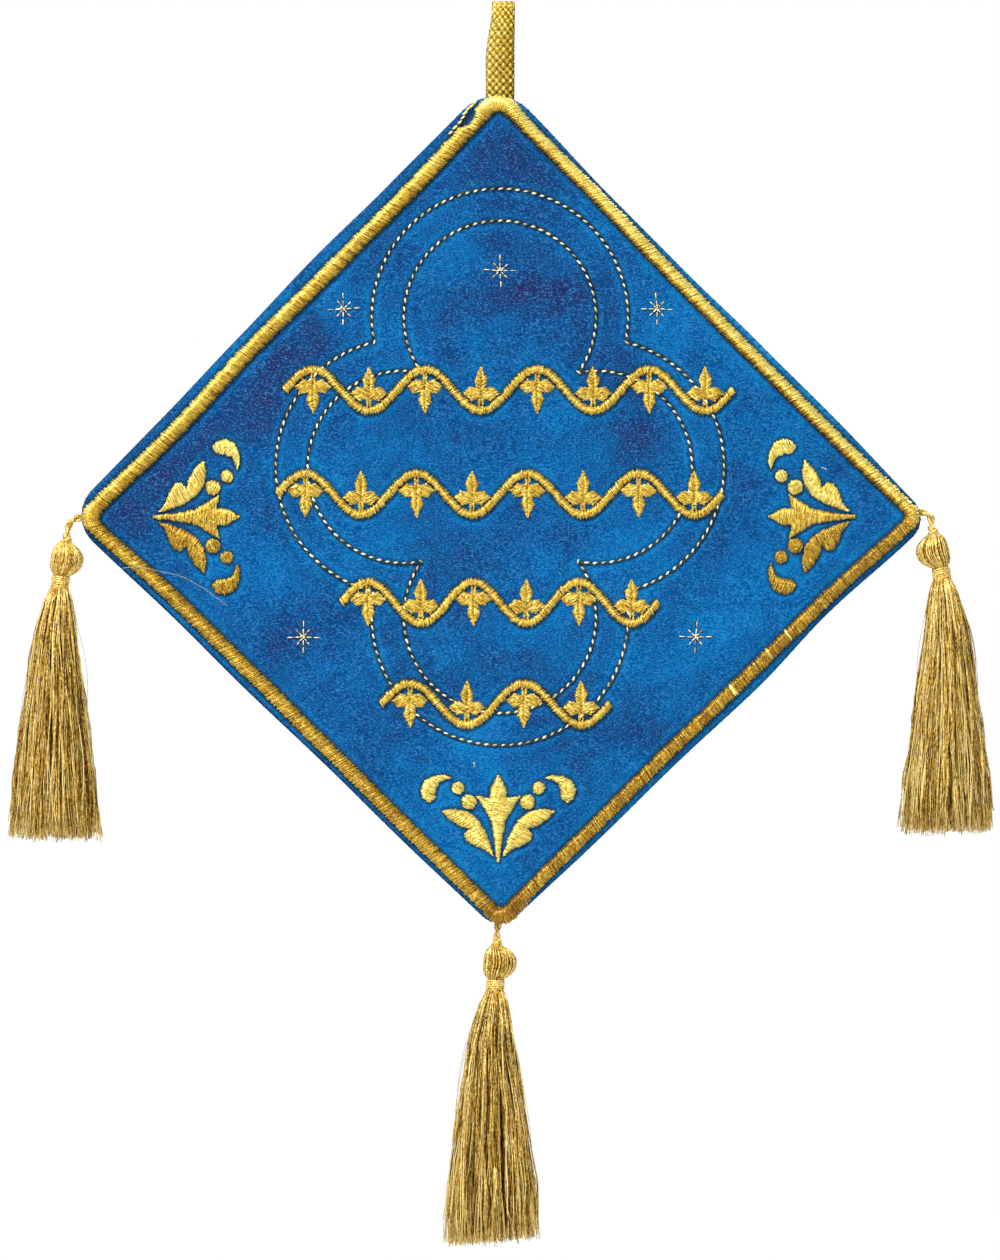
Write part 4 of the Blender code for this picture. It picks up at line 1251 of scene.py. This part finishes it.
@dataclass
class TapeLoop:
    """The flat plaited tape: up from between the panels, over the hook's place and down again."""

    thickness: float = 1.1
    foot_width: float = 7.4
    top_width: float = 5.9
    foot_x: float = -0.85
    narrows_z: float = -14.0
    foot_z: float = -30.0
    loop_radius: float = 3.4
    mouth_z: float = -22.0
    clearance: float = 0.3
    carriers: int = 8
    threads_each: int = 4
    thread_radius: float = 0.25
    spacing: float = 0.057
    crown: float = 0.10
    traverse: float = 8.0
    crossing_rise: float = 0.38
    ring_step: float = 0.34

    def route(self) -> Array:
        """The tape's middle line seen from the side, as y and z, from foot to foot."""
        reach = self.loop_radius + self.thickness / 2
        foot = self.thickness / 2 + self.clearance / 2
        mouth = self.mouth_z
        leg = [
            (-foot, self.foot_z), (-foot, mouth - 1.5), (-foot - 0.15, mouth), (-foot - 0.9, mouth + 4),
            (-foot - 2.1, mouth + 9), (-foot - 2.95, mouth + 14),
        ]
        turn = np.pi * np.arange(9) / 8
        arc = np.stack([-reach * np.cos(turn), -self.loop_radius + reach * np.sin(turn)], axis=1)
        points = np.vstack([leg, arc, [(-y, z) for y, z in reversed(leg)]])
        return evenly(smooth_route(points, 600), self.ring_step)

    def build(self, finishes: Finishes) -> str:
        """Makes the plait and returns its name."""
        route = self.route()
        along = unit(np.gradient(route, axis=0))
        out = left_of(along)
        run = np.arange(len(route)) * self.ring_step
        up = smooth_step(1 - route[:, 1] / self.narrows_z)
        half = (self.foot_width + (self.top_width - self.foot_width) * up) / 2 - self.thread_radius
        middle = self.foot_x * (1 - up)
        random = np.random.default_rng(5)
        plait = Threads(sides=4)
        for carrier in range(self.carriers):
            for number in range(self.threads_each):
                beside = number - (self.threads_each - 1) / 2
                shift = beside * self.spacing
                progress = run / self.traverse + 2 * carrier / self.carriers + shift
                traverse = np.floor(progress).astype(int)
                share = progress - traverse
                way = np.where(traverse % 2 == 0, 1.0, -1.0)
                x = middle + half * way * (1 - 2 * share)
                lift = way * np.cos(np.pi * self.carriers * (share - shift / 2)) * self.crossing_rise
                lift = lift - self.crown * beside**2
                place = route + out * lift[:, None]
                lines = np.stack([x, place[:, 0], place[:, 1]], axis=1)[None]
                facing = np.stack([np.zeros(len(route)), out[:, 0], out[:, 1]], axis=1)[None]
                # Painted light and shade: threads lifted over a crossing are painted paler, those sunk under
                # darker, and the tape darker towards its right
                tone = 0.34 + random.normal(0, 0.08) + 1.0 * lift - 0.055 * (x - middle)
                plait.add(lines, self.thread_radius, tone[None], facing, 0.85)
        return plait.piece("plaited_tape", finishes.braid, Slot.BRAID, ["hanging_tape"]).name


class Tassel(NamedTuple):
    """Where a tassel hangs, as seen from the front."""

    name: str
    exit: Place
    bend: Place
    head_top: Place
    neck: Place
    end: Place
    bulge: float
    slant: float
    fullness: float


TASSELS = (
    Tassel(
        "left",
        (-105.2, -128.0), (-108.3, -129.3), (-109.3, -133.9), (-110.9, -144.3),
        (-112.0, -207.4), 0.9, 0.004, 0.0,
    ),
    Tassel(
        "right",
        (103.4, -126.6), (106.5, -127.6), (107.4, -131.7), (109.5, -142.2),
        (110.5, -205.8), -1.1, -0.004, 0.1,
    ),
    Tassel(
        "bottom",
        (-1.3, -228.9), (-1.6, -231.5), (-1.7, -234.9), (-2.1, -245.2),
        (-3.0, -308.2), 1.1, -0.016, 1.0,
    ),
)


@dataclass
class TasselWork:
    """One tassel: a two-ply cord, a head of gathered yarn, a wound neck and a skirt of fine ends."""

    tassel: Tassel
    seed: int
    ends: int = 460
    fibres_each: int = 3
    fibre_radius: float = 0.15
    locks: int = 110
    rings: int = 12
    crinkle: float = 0.19
    strays: int = 8
    head_threads: int = 92
    head_low: float = -1.75
    head_profile: tuple[Place, ...] = (
        (-1.75, 1.7), (1.6, 1.75), (2.4, 2.6), (3.8, 3.62), (5.6, 3.95), (7.3, 3.75), (8.9, 2.85),
        (10.3, 1.0),
    )
    skirt_profile: tuple[Place, ...] = (
        (0.0, 2.1), (0.03, 2.9), (0.055, 3.5), (0.13, 4.3), (0.30, 5.9), (0.45, 7.3), (0.7, 9.4), (0.8, 10.4),
        (1.0, 11.5),
    )
    plumb_share: float = 0.2
    neck_radius: float = 2.05
    neck_turns: int = 12
    neck_height: float = 3.3
    cord_rise: float = 1.8
    cord_tuck: float = 5.0
    cord_pitch: float = 6.2
    cord_step: float = 0.2
    ply_radius: float = 0.46
    strand_radius: float = 0.30
    strands: int = 6
    yarn_radius: float = 0.19

    def __post_init__(self) -> None:
        """Finds the tassel's own frame from its bound neck."""
        self.random = np.random.default_rng(self.seed)
        low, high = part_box(f"tassel_binding_{self.tassel.name}")
        self.depth = (low.y + high.y) / 2 / MM
        neck, top = self.tassel.neck, self.tassel.head_top
        self.tilt = math.atan2(top[0] - neck[0], top[1] - neck[1])

    def placed(self, local: Array) -> Array:
        """Places from the tassel's own upright frame, whose origin is the middle of the neck."""
        x = local[..., 0] * math.cos(self.tilt) + local[..., 2] * math.sin(self.tilt)
        z = -local[..., 0] * math.sin(self.tilt) + local[..., 2] * math.cos(self.tilt)
        neck = self.tassel.neck
        return np.stack([x + neck[0], local[..., 1] + self.depth, z + neck[1]], axis=-1)

    def on_head(self, height: Array, radius: Array, turn: Array) -> Array:
        """Places on the head, which swells to one side."""
        top = self.head_profile[-1][0]
        share = np.clip((height - 1.85) / (top - 1.85), 0, 1)
        shift = self.tassel.bulge * np.sin(np.pi * share)
        return self.placed(np.stack([radius * np.cos(turn) + shift, radius * np.sin(turn), height], axis=-1))

    def head(self, threads: Threads) -> None:
        """Yarn from the crown down to the neck, drawn into soft ridges."""
        heights, radii = np.array(self.head_profile).T
        height = smooth_route(np.stack([heights, radii], axis=1), 18)
        height, radius = height[None, :, 0], height[None, :, 1]
        for layer, shrink in ((0, 0.0), (1, 0.28)):
            turn = 2 * np.pi * (np.arange(self.head_threads) + 0.5 * layer) / self.head_threads
            turn = (turn + self.random.normal(0, 0.02, self.head_threads))[:, None]
            ridge = np.abs(np.sin(turn * 7.5 + self.seed)) ** 0.5 - 1
            uneven = self.random.normal(0, 0.05, (self.head_threads, 1))
            full = np.sin(np.pi * np.clip((height - 1.6) / 8.7, 0, 1))
            wide = radius + (0.16 * ridge + uneven) * full - shrink * (0.3 + full)
            lean = turn + 0.06 * full * self.random.normal(0, 1, (self.head_threads, 1))
            lines = self.on_head(np.broadcast_to(height, wide.shape), wide, lean)
            facing = unit(lines - self.placed(np.array([0.0, 0.0, 4.5])))
            # Painted shade: the grooves between the head's ridges and the inner layer are painted darker
            tone = 0.56 + 0.16 * ridge[:, 0] + self.random.normal(0, 0.18, self.head_threads) - 0.25 * layer
            threads.add(lines, self.yarn_radius, tone, facing)

    def skirt(self, threads: Threads) -> None:
        """Fine ends that leave the neck together, gather into locks and hang plumb."""
        centres = self.disc(self.locks)
        spots = self.disc(self.ends, 0.40)
        nearest = np.linalg.norm(spots[:, None] - centres[None], axis=2).argmin(axis=1)
        share = np.linspace(0, 1, self.rings)[None, :] ** 1.2
        free = smooth_step(share * 4)[..., None]
        draw = 0.55 * np.sin(np.pi * np.clip(share * 0.86, 0, 1)) ** 0.8
        pull = self.random.uniform(0.0, 1.0, (self.ends, 1)) * draw
        at = spots[:, None] * (1 - pull[..., None]) + centres[nearest][:, None] * pull[..., None]
        length = 1 + self.random.normal(0, 0.012, (self.ends, 1)) + self.tassel.slant * spots[:, :1]
        length = np.where(self.random.random((self.ends, 1)) < 0.12, length - 0.05, length)
        waves = self.waver(self.ends, share, 0.68)
        inward = np.linalg.norm(spots, axis=1)
        # Painted light and shade: ends near the skirt's middle are painted darker than the outer ones, and
        # the right side darker than the left
        tone = 0.35 + 0.26 * inward**2 - 0.09 * spots[:, 0] + self.random.normal(0, 0.12, self.ends)
        for number in range(self.fibres_each):
            twist = self.random.uniform(0, 2 * np.pi, (self.ends, 1))
            twist = twist + share * self.random.normal(0, 5, (self.ends, 1))
            beside = np.stack([np.cos(twist), np.sin(twist)], axis=-1) * self.fibre_radius * 1.2
            frayed = self.random.normal(0, self.crinkle, waves.shape) * (0.5 + share[..., None])
            lines = self.hanging(at, share * length, waves + (beside + frayed) * free)
            size = self.random.uniform(0.8, 1.15, (self.ends, 1)) * np.ones_like(share)
            size[:, -1] *= 0.5
            own = tone[:, None] + self.random.normal(0, 0.28, (self.ends, 1))
            own = own + self.random.normal(0, 0.16, size.shape)
            threads.add(lines, self.fibre_radius * size, own)

    def stray(self, threads: Threads) -> None:
        """Hair-thin ends that bow away from the skirt."""
        turn = self.random.uniform(0, 2 * np.pi, self.strays)
        turn[:2] = (0.1, np.pi + 0.2)
        spots = np.stack([np.cos(turn), np.sin(turn)], axis=1) * 0.97
        share = np.linspace(0, 1, self.rings)[None, :]
        reach = self.random.uniform(0.5, 1.01, (self.strays, 1))
        lines = self.hanging(spots[:, None] * np.ones_like(share)[..., None], share * reach, 0)
        beat = self.random.uniform(0.8, 1.3, (self.strays, 1))
        bow = self.random.uniform(0.5, 2.0, (self.strays, 1)) * np.sin(np.pi * share * beat) ** 2
        lines[..., 0] += bow * np.cos(turn)[:, None]
        lines[..., 1] += bow * np.sin(turn)[:, None] * 0.5
        threads.add(lines, 0.06, 0.45)

    def disc(self, count: int, crowding: float = 0.5) -> Array:
        """Places scattered over the unit disc, closer to its rim for a smaller crowding."""
        turn = self.random.uniform(0, 2 * np.pi, count)
        radius = self.random.random(count) ** crowding
        return np.stack([radius * np.cos(turn), radius * np.sin(turn)], axis=1)

    def waver(self, count: int, share: Array, size: float) -> Array:
        """A slow random sway for each of a number of ends, in two directions."""
        sway = 0.0
        for beats in (1.3, 2.9, 5.3):
            phase = self.random.uniform(0, 2 * np.pi, (count, 1, 2))
            sway = sway + np.sin(beats * np.pi * share[..., None] + phase) / beats
        return sway * size * smooth_step(share * 4)[..., None]

    def hanging(self, spots: Array, share: Array, sway: Array | float) -> Array:
        """The lines of ends that hang from the neck.

        Args:
            spots: where each lies on the unit disc, as ends by rings by two.
            share: how far down each ring is, as a share of the skirt's length.
            sway: what is added to each place, as ends by rings by two.

        Returns:
            The lines, as ends by rings by three.
        """
        shares, radii = np.array(self.skirt_profile).T
        radius = np.interp(share, shares, radii) + self.tassel.fullness * np.sin(np.pi * np.clip(share, 0, 1))
        spread = radius[..., None] * spots + sway
        neck, end = self.tassel.neck, self.tassel.end
        lean = (end[0] - neck[0]) * np.minimum(share / self.plumb_share, 1)
        foot = self.placed(np.array([0.0, 0.0, self.head_low * 0.6]))
        drop = np.minimum(share, 1.03) * (end[1] - foot[2])
        return np.stack([foot[0] + lean + spread[..., 0], foot[1] + spread[..., 1], foot[2] + drop], axis=-1)

    def wound_neck(self, threads: Threads) -> None:
        """The yarn wound round the neck, and a few slanting turns over it."""
        for turns, radius, low, high, slant, tone in (
            (self.neck_turns, self.neck_radius, -0.5, 0.5, 0.12, 0.50),
            (4, self.neck_radius + 0.12, -0.30, 0.38, 0.42, 0.66),
            (3, self.neck_radius + 0.16, -0.2, 0.3, -0.5, 0.76),
        ):
            share = np.linspace(0, 1, turns * 20)
            turn = 2 * np.pi * turns * share
            height = (low + (high - low) * share) * self.neck_height + slant * np.sin(turn)
            ring = radius + 0.06 * np.sin(3.1 * turn)
            local = np.stack([ring * np.cos(turn), ring * np.sin(turn), height], axis=1)
            facing = np.stack([np.cos(turn), np.sin(turn), 0 * turn], axis=1)
            threads.add(self.placed(local)[None], 0.17, tone, facing[None])

    def cord_line(self) -> Array:
        """The cord's middle line, from between the panels to the crown."""
        exit_place = np.array(self.tassel.exit)
        inner = exit_place + unit(np.array([0.0, CORNERS[1].z]) - exit_place) * self.cord_tuck
        top = self.head_profile[-1][0]
        above, crown = self.placed(np.array([[0.0, 0.0, top + self.cord_rise], [0.0, 0.0, top - 0.6]]))
        flat = [(x, self.depth, z) for x, z in (inner, exit_place, self.tassel.bend)]
        return evenly(smooth_route(np.array([*flat, above, crown]), 120), self.cord_step)

    def cord(self, threads: Threads) -> None:
        """Two plies of fine yarn twisted round each other."""
        line = self.cord_line()
        along = unit(np.gradient(line, axis=0))
        forward = np.array([0.0, 1.0, 0.0])
        sideways = unit(np.cross(along, forward))
        run = np.arange(len(line)) * self.cord_step
        for ply in range(2):
            twist = 2 * np.pi * run / self.cord_pitch + np.pi * ply
            for number in range(self.strands):
                own = -twist * 1.6 + 2 * np.pi * number / self.strands
                right = self.ply_radius * np.cos(twist) + self.strand_radius * np.cos(own)
                ahead = self.ply_radius * np.sin(twist) + self.strand_radius * np.sin(own)
                lines = line + sideways * right[:, None] + forward * ahead[:, None]
                threads.add(lines[None], self.yarn_radius, 0.66 + self.random.normal(0, 0.12))

    def crown_knot(self, threads: Threads) -> None:
        """The small knot where the cord meets the crown."""
        for turns, radius, height, lean in ((2.2, 1.15, 10.2, 0.35), (1.4, 0.95, 11.0, -0.45)):
            share = np.linspace(0, 1, 40)
            turn = 2 * np.pi * turns * share + self.seed
            across = radius * np.cos(turn)
            local = np.stack([across, radius * np.sin(turn), height + 0.5 * share + lean * across], axis=1)
            for beside in (0.0, 0.34):
                threads.add(self.placed(local + (0, 0, beside))[None], 0.22, 0.58 + beside * 0.3)

    def shaded_core(self, material: bpy.types.Material) -> None:
        """The dark filling inside the head, turned from its profile: painted shade inside the head in the
        yarn's deepest colour.
        """
        bm = bmesh.new()
        inner = [(0.0, self.head_low)]
        inner += [(radius - 0.55, height) for height, radius in self.head_profile[:-1]]
        inner += [(0.0, self.head_profile[-1][0] - 1.0)]
        verts = [bm.verts.new((radius, 0.0, height)) for radius, height in inner]
        edges = [bm.edges.new(pair) for pair in zip(verts, verts[1:])]
        bmesh.ops.spin(
            bm, geom=verts + edges, cent=(0, 0, 0), axis=(0, 0, 1), angle=2 * math.pi, steps=24,
            use_merge=True,
        )
        bmesh.ops.remove_doubles(bm, verts=bm.verts, dist=0.001)
        bmesh.ops.recalc_face_normals(bm, faces=bm.faces)
        for vert in bm.verts:
            place = np.array(vert.co)
            turn, radius = np.arctan2(place[1], place[0]), np.hypot(place[0], place[1])
            vert.co = self.on_head(place[2], radius, turn) * MM
        mesh = bpy.data.meshes.new(f"tassel_{self.tassel.name}_core")
        bm.to_mesh(mesh)
        bm.free()
        # Its tone stays at zero, the yarn's deepest colour, as painted shade
        mesh.attributes.new("tone", "FLOAT", "POINT")
        finish_object(mesh, material)

    def build(self, finishes: Finishes) -> None:
        """Makes the tassel's pieces."""
        name = self.tassel.name
        body = Threads(sides=3)
        self.head(body)
        self.skirt(body)
        self.stray(body)
        body.piece(f"tassel_{name}_yarn", finishes.yarn, Slot.YARN, [f"tassel_{name}"])
        self.shaded_core(finishes.yarn)
        neck = Threads(sides=6)
        self.wound_neck(neck)
        neck.piece(f"tassel_{name}_neck", finishes.yarn, Slot.YARN, [f"tassel_binding_{name}"])
        cord = Threads(sides=4)
        self.cord(cord)
        self.crown_knot(cord)
        cord.piece(f"tassel_{name}_cord", finishes.yarn, Slot.YARN, [f"tassel_cord_{name}"])


@dataclass
class Seam:
    """The overcast stitches that hold the two panels together round their rims.

    Each turn of a stitch gives how far in from the rim it lies, how far to the back, and how far along.
    """

    front_face: Ground
    back_face: Ground
    turns: tuple[tuple[float, float, float], ...] = (
        (1.0, 0.0, -0.4), (0.2, 0.05, -0.2), (0.0, 0.5, 0.0), (0.1, 0.95, 0.2), (1.0, 1.0, 0.4),
    )
    pitch: float = 2.3
    bite: float = 0.9
    radius: float = 0.10

    def build(self, finishes: Finishes) -> None:
        """Makes the stitches."""
        rim = evenly(cloth_line(False).closed(24, 300), self.pitch, closed=True)
        along = unit(np.roll(rim, -1, axis=0) - np.roll(rim, 1, axis=0))
        inward = -left_of(along)
        rows = []
        for inset, share, slide in self.turns:
            flat = rim + inward * inset * self.bite + along * slide
            front, back = self.front_face.depth(flat) - 0.05, self.back_face.depth(flat) + 0.05
            depth = front * (1 - share) + back * share
            rows.append(at_depth(flat, depth))
        threads = Threads(sides=4)
        random = np.random.default_rng(9)
        facing = np.broadcast_to(at_depth(along, 0 * along[:, 0])[:, None], (len(rim), len(rows), 3))
        threads.add(np.stack(rows, axis=1), self.radius, random.normal(0.5, 0.2, len(rim)), facing)
        threads.piece("seam_stitches", finishes.seam, Slot.VELVET)


@dataclass
class Lint:
    """A stray thread that lies over the left corner, and specks of fluff on the pile."""

    ground: Ground
    specks: tuple[Place, ...] = ((-7.4, -189.8), (80.1, -115.8))
    hair: tuple[Place, ...] = (
        (-95.4, -140.8), (-91.0, -140.5), (-86.4, -141.5), (-80.5, -142.9), (-74.5, -146.2), (-68.9, -150.3),
    )

    def build(self, finishes: Finishes) -> None:
        """Makes the thread and the specks."""
        threads = Threads(sides=4)
        flat = smooth_route(np.array(self.hair), 40)
        from_border = np.abs(np.arange(41) - 9)
        lift = 0.12 + 1.55 * np.exp(-((from_border / 7.0) ** 2))
        depth = self.ground.depth(flat) - lift
        threads.add(at_depth(flat, depth)[None], 0.06, 0.6)
        random = np.random.default_rng(2)
        for x, z in self.specks:
            spread = np.linspace(-0.7, 0.7, 4)[:, None] * unit(random.normal(0, 1, 2))
            bend = smooth_route(np.array([x, z]) + spread + random.normal(0, 0.12, (4, 2)), 12)
            depth = self.ground.depth(bend) - 0.15
            threads.add(at_depth(bend, depth)[None], 0.09, 0.9)
        threads.piece("lint", finishes.lint, None)


@dataclass
class Studio:
    """The pale room: light from above, a white background, a floor, and the camera."""

    frame_middle: Place = (-0.875, -156.25)
    frame_height: float = 315.0
    camera_distance: float = 3000.0
    sensor: float = 36.0
    floor_z: float = -370.0
    floor_radius: float = 700.0

    def camera(self) -> None:
        """The camera, square to the front."""
        data = bpy.data.cameras.new("camera")
        data.sensor_width = self.sensor
        data.lens = self.sensor * self.camera_distance / self.frame_height
        data.clip_end = 20
        made = bpy.data.objects.new("camera", data)
        made.location = Vector((self.frame_middle[0], -self.camera_distance, self.frame_middle[1])) * MM
        made.rotation_euler = (math.pi / 2, 0, 0)
        bpy.context.scene.collection.objects.link(made)
        bpy.context.scene.camera = made

    def lamp(self, name: str, place: Sequence[float], size: float, power: float, colour: Colour) -> None:
        """A square lamp that looks at the banner's middle.

        Args:
            name: its name.
            place: where it stands.
            size: the length of its side.
            power: in watts.
            colour: its light's colour.
        """
        data = bpy.data.lights.new(name, "AREA")
        data.size = size * MM
        data.energy = power
        data.color = colour
        made = bpy.data.objects.new(name, data)
        made.location = Vector(place) * MM
        target = Vector((0, 0, -140)) * MM
        made.rotation_euler = (target - made.location).to_track_quat("-Z", "Y").to_euler()
        bpy.context.scene.collection.objects.link(made)

    def world(self) -> None:
        """White to the camera, and brighter above than below to the banner."""
        made = bpy.data.worlds.new("studio")
        bpy.context.scene.world = made
        made.use_nodes = True
        tree = made.node_tree
        seen = tree.nodes.new("ShaderNodeLightPath").outputs["Is Camera Ray"]
        way = tree.nodes.new("ShaderNodeTexCoord").outputs["Generated"]
        parts = tree.nodes.new("ShaderNodeSeparateXYZ")
        tree.links.new(way, parts.inputs[0])
        ramp = tree.nodes.new("ShaderNodeValToRGB")
        shift = tree.nodes.new("ShaderNodeMapRange")
        shift.inputs[1].default_value = -1.0
        tree.links.new(parts.outputs["Z"], shift.inputs[0])
        tree.links.new(shift.outputs[0], ramp.inputs[0])
        ramp.color_ramp.elements[0].color = (0.16, 0.17, 0.18, 1)
        ramp.color_ramp.elements[1].color = (0.60, 0.62, 0.64, 1)
        mix = tree.nodes.new("ShaderNodeMix")
        mix.data_type = "RGBA"
        mix.inputs[7].default_value = (1, 1, 1, 1)
        tree.links.new(seen, mix.inputs[0])
        tree.links.new(ramp.outputs[0], mix.inputs[6])
        tree.links.new(mix.outputs[2], tree.nodes["Background"].inputs[0])

    def floor(self) -> None:
        """A round pale floor below the banner."""
        bm = bmesh.new()
        bmesh.ops.create_circle(bm, cap_ends=True, radius=self.floor_radius * MM, segments=96)
        bmesh.ops.translate(bm, verts=bm.verts, vec=(0, 0, self.floor_z * MM))
        mesh = bpy.data.meshes.new("floor")
        bm.to_mesh(mesh)
        bm.free()
        recipe = Recipe("pale_floor")
        recipe.fill(recipe.shader, {"Base Color": (0.8, 0.8, 0.8, 1.0), "Roughness": 0.9})
        mesh.materials.append(recipe.material)
        made = bpy.data.objects.new("floor", mesh)
        bpy.context.scene.collection.objects.link(made)

    def build(self) -> None:
        """Sets up the room."""
        self.camera()
        self.floor()
        self.world()
        self.lamp("key", (-650, -850, 1050), 300, 32.0, (1.0, 0.97, 0.92))
        self.lamp("fill", (500, -1400, 0), 900, 5.0, (0.97, 0.98, 1.0))
        self.lamp("back", (700, 1100, 800), 500, 14.0, (1.0, 0.98, 0.95))
        bpy.context.scene.view_settings.view_transform = "Standard"


def main() -> None:
    """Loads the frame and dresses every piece."""
    logging.basicConfig(level=logging.INFO, format="%(message)s")
    for old in list(bpy.data.objects):
        bpy.data.objects.remove(old)
    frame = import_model()
    Studio().build()
    finishes = Finishes()
    nodes = frame["nodes"]
    front_face = Ground(nodes["front_panel"])
    back_face = Ground(nodes["back_panel"], looks_back=True)
    medallion = Medallion(front_face)
    stitch = SatinStitch(front_face)
    border, sprigs, vines = Border(stitch), SprigWork(stitch), VineWork(stitch)
    tape = TapeLoop().build(finishes)
    pressed_and_shaded = np.vstack([medallion.pressed_and_shaded(), *border.edges(), sprigs.pressed_and_shaded(), vines.pressed_and_shaded()])
    VelvetPanel("velvet_front", "front_panel", True, 184, pressed_and_shaded).build(
        nodes["front_panel"], finishes, tape
    )
    VelvetPanel("velvet_back", "back_panel", False, 80, np.empty((0, 2))).build(
        nodes["back_panel"], finishes, tape
    )
    border.build(finishes)
    sprigs.build(finishes)
    vines.build(finishes)
    medallion.build(finishes)
    for seed, tassel in enumerate(TASSELS, start=21):
        TasselWork(tassel, seed).build(finishes)
    Seam(front_face, back_face).build(finishes)
    Lint(front_face).build(finishes)


if __name__ == "__main__":
    main()
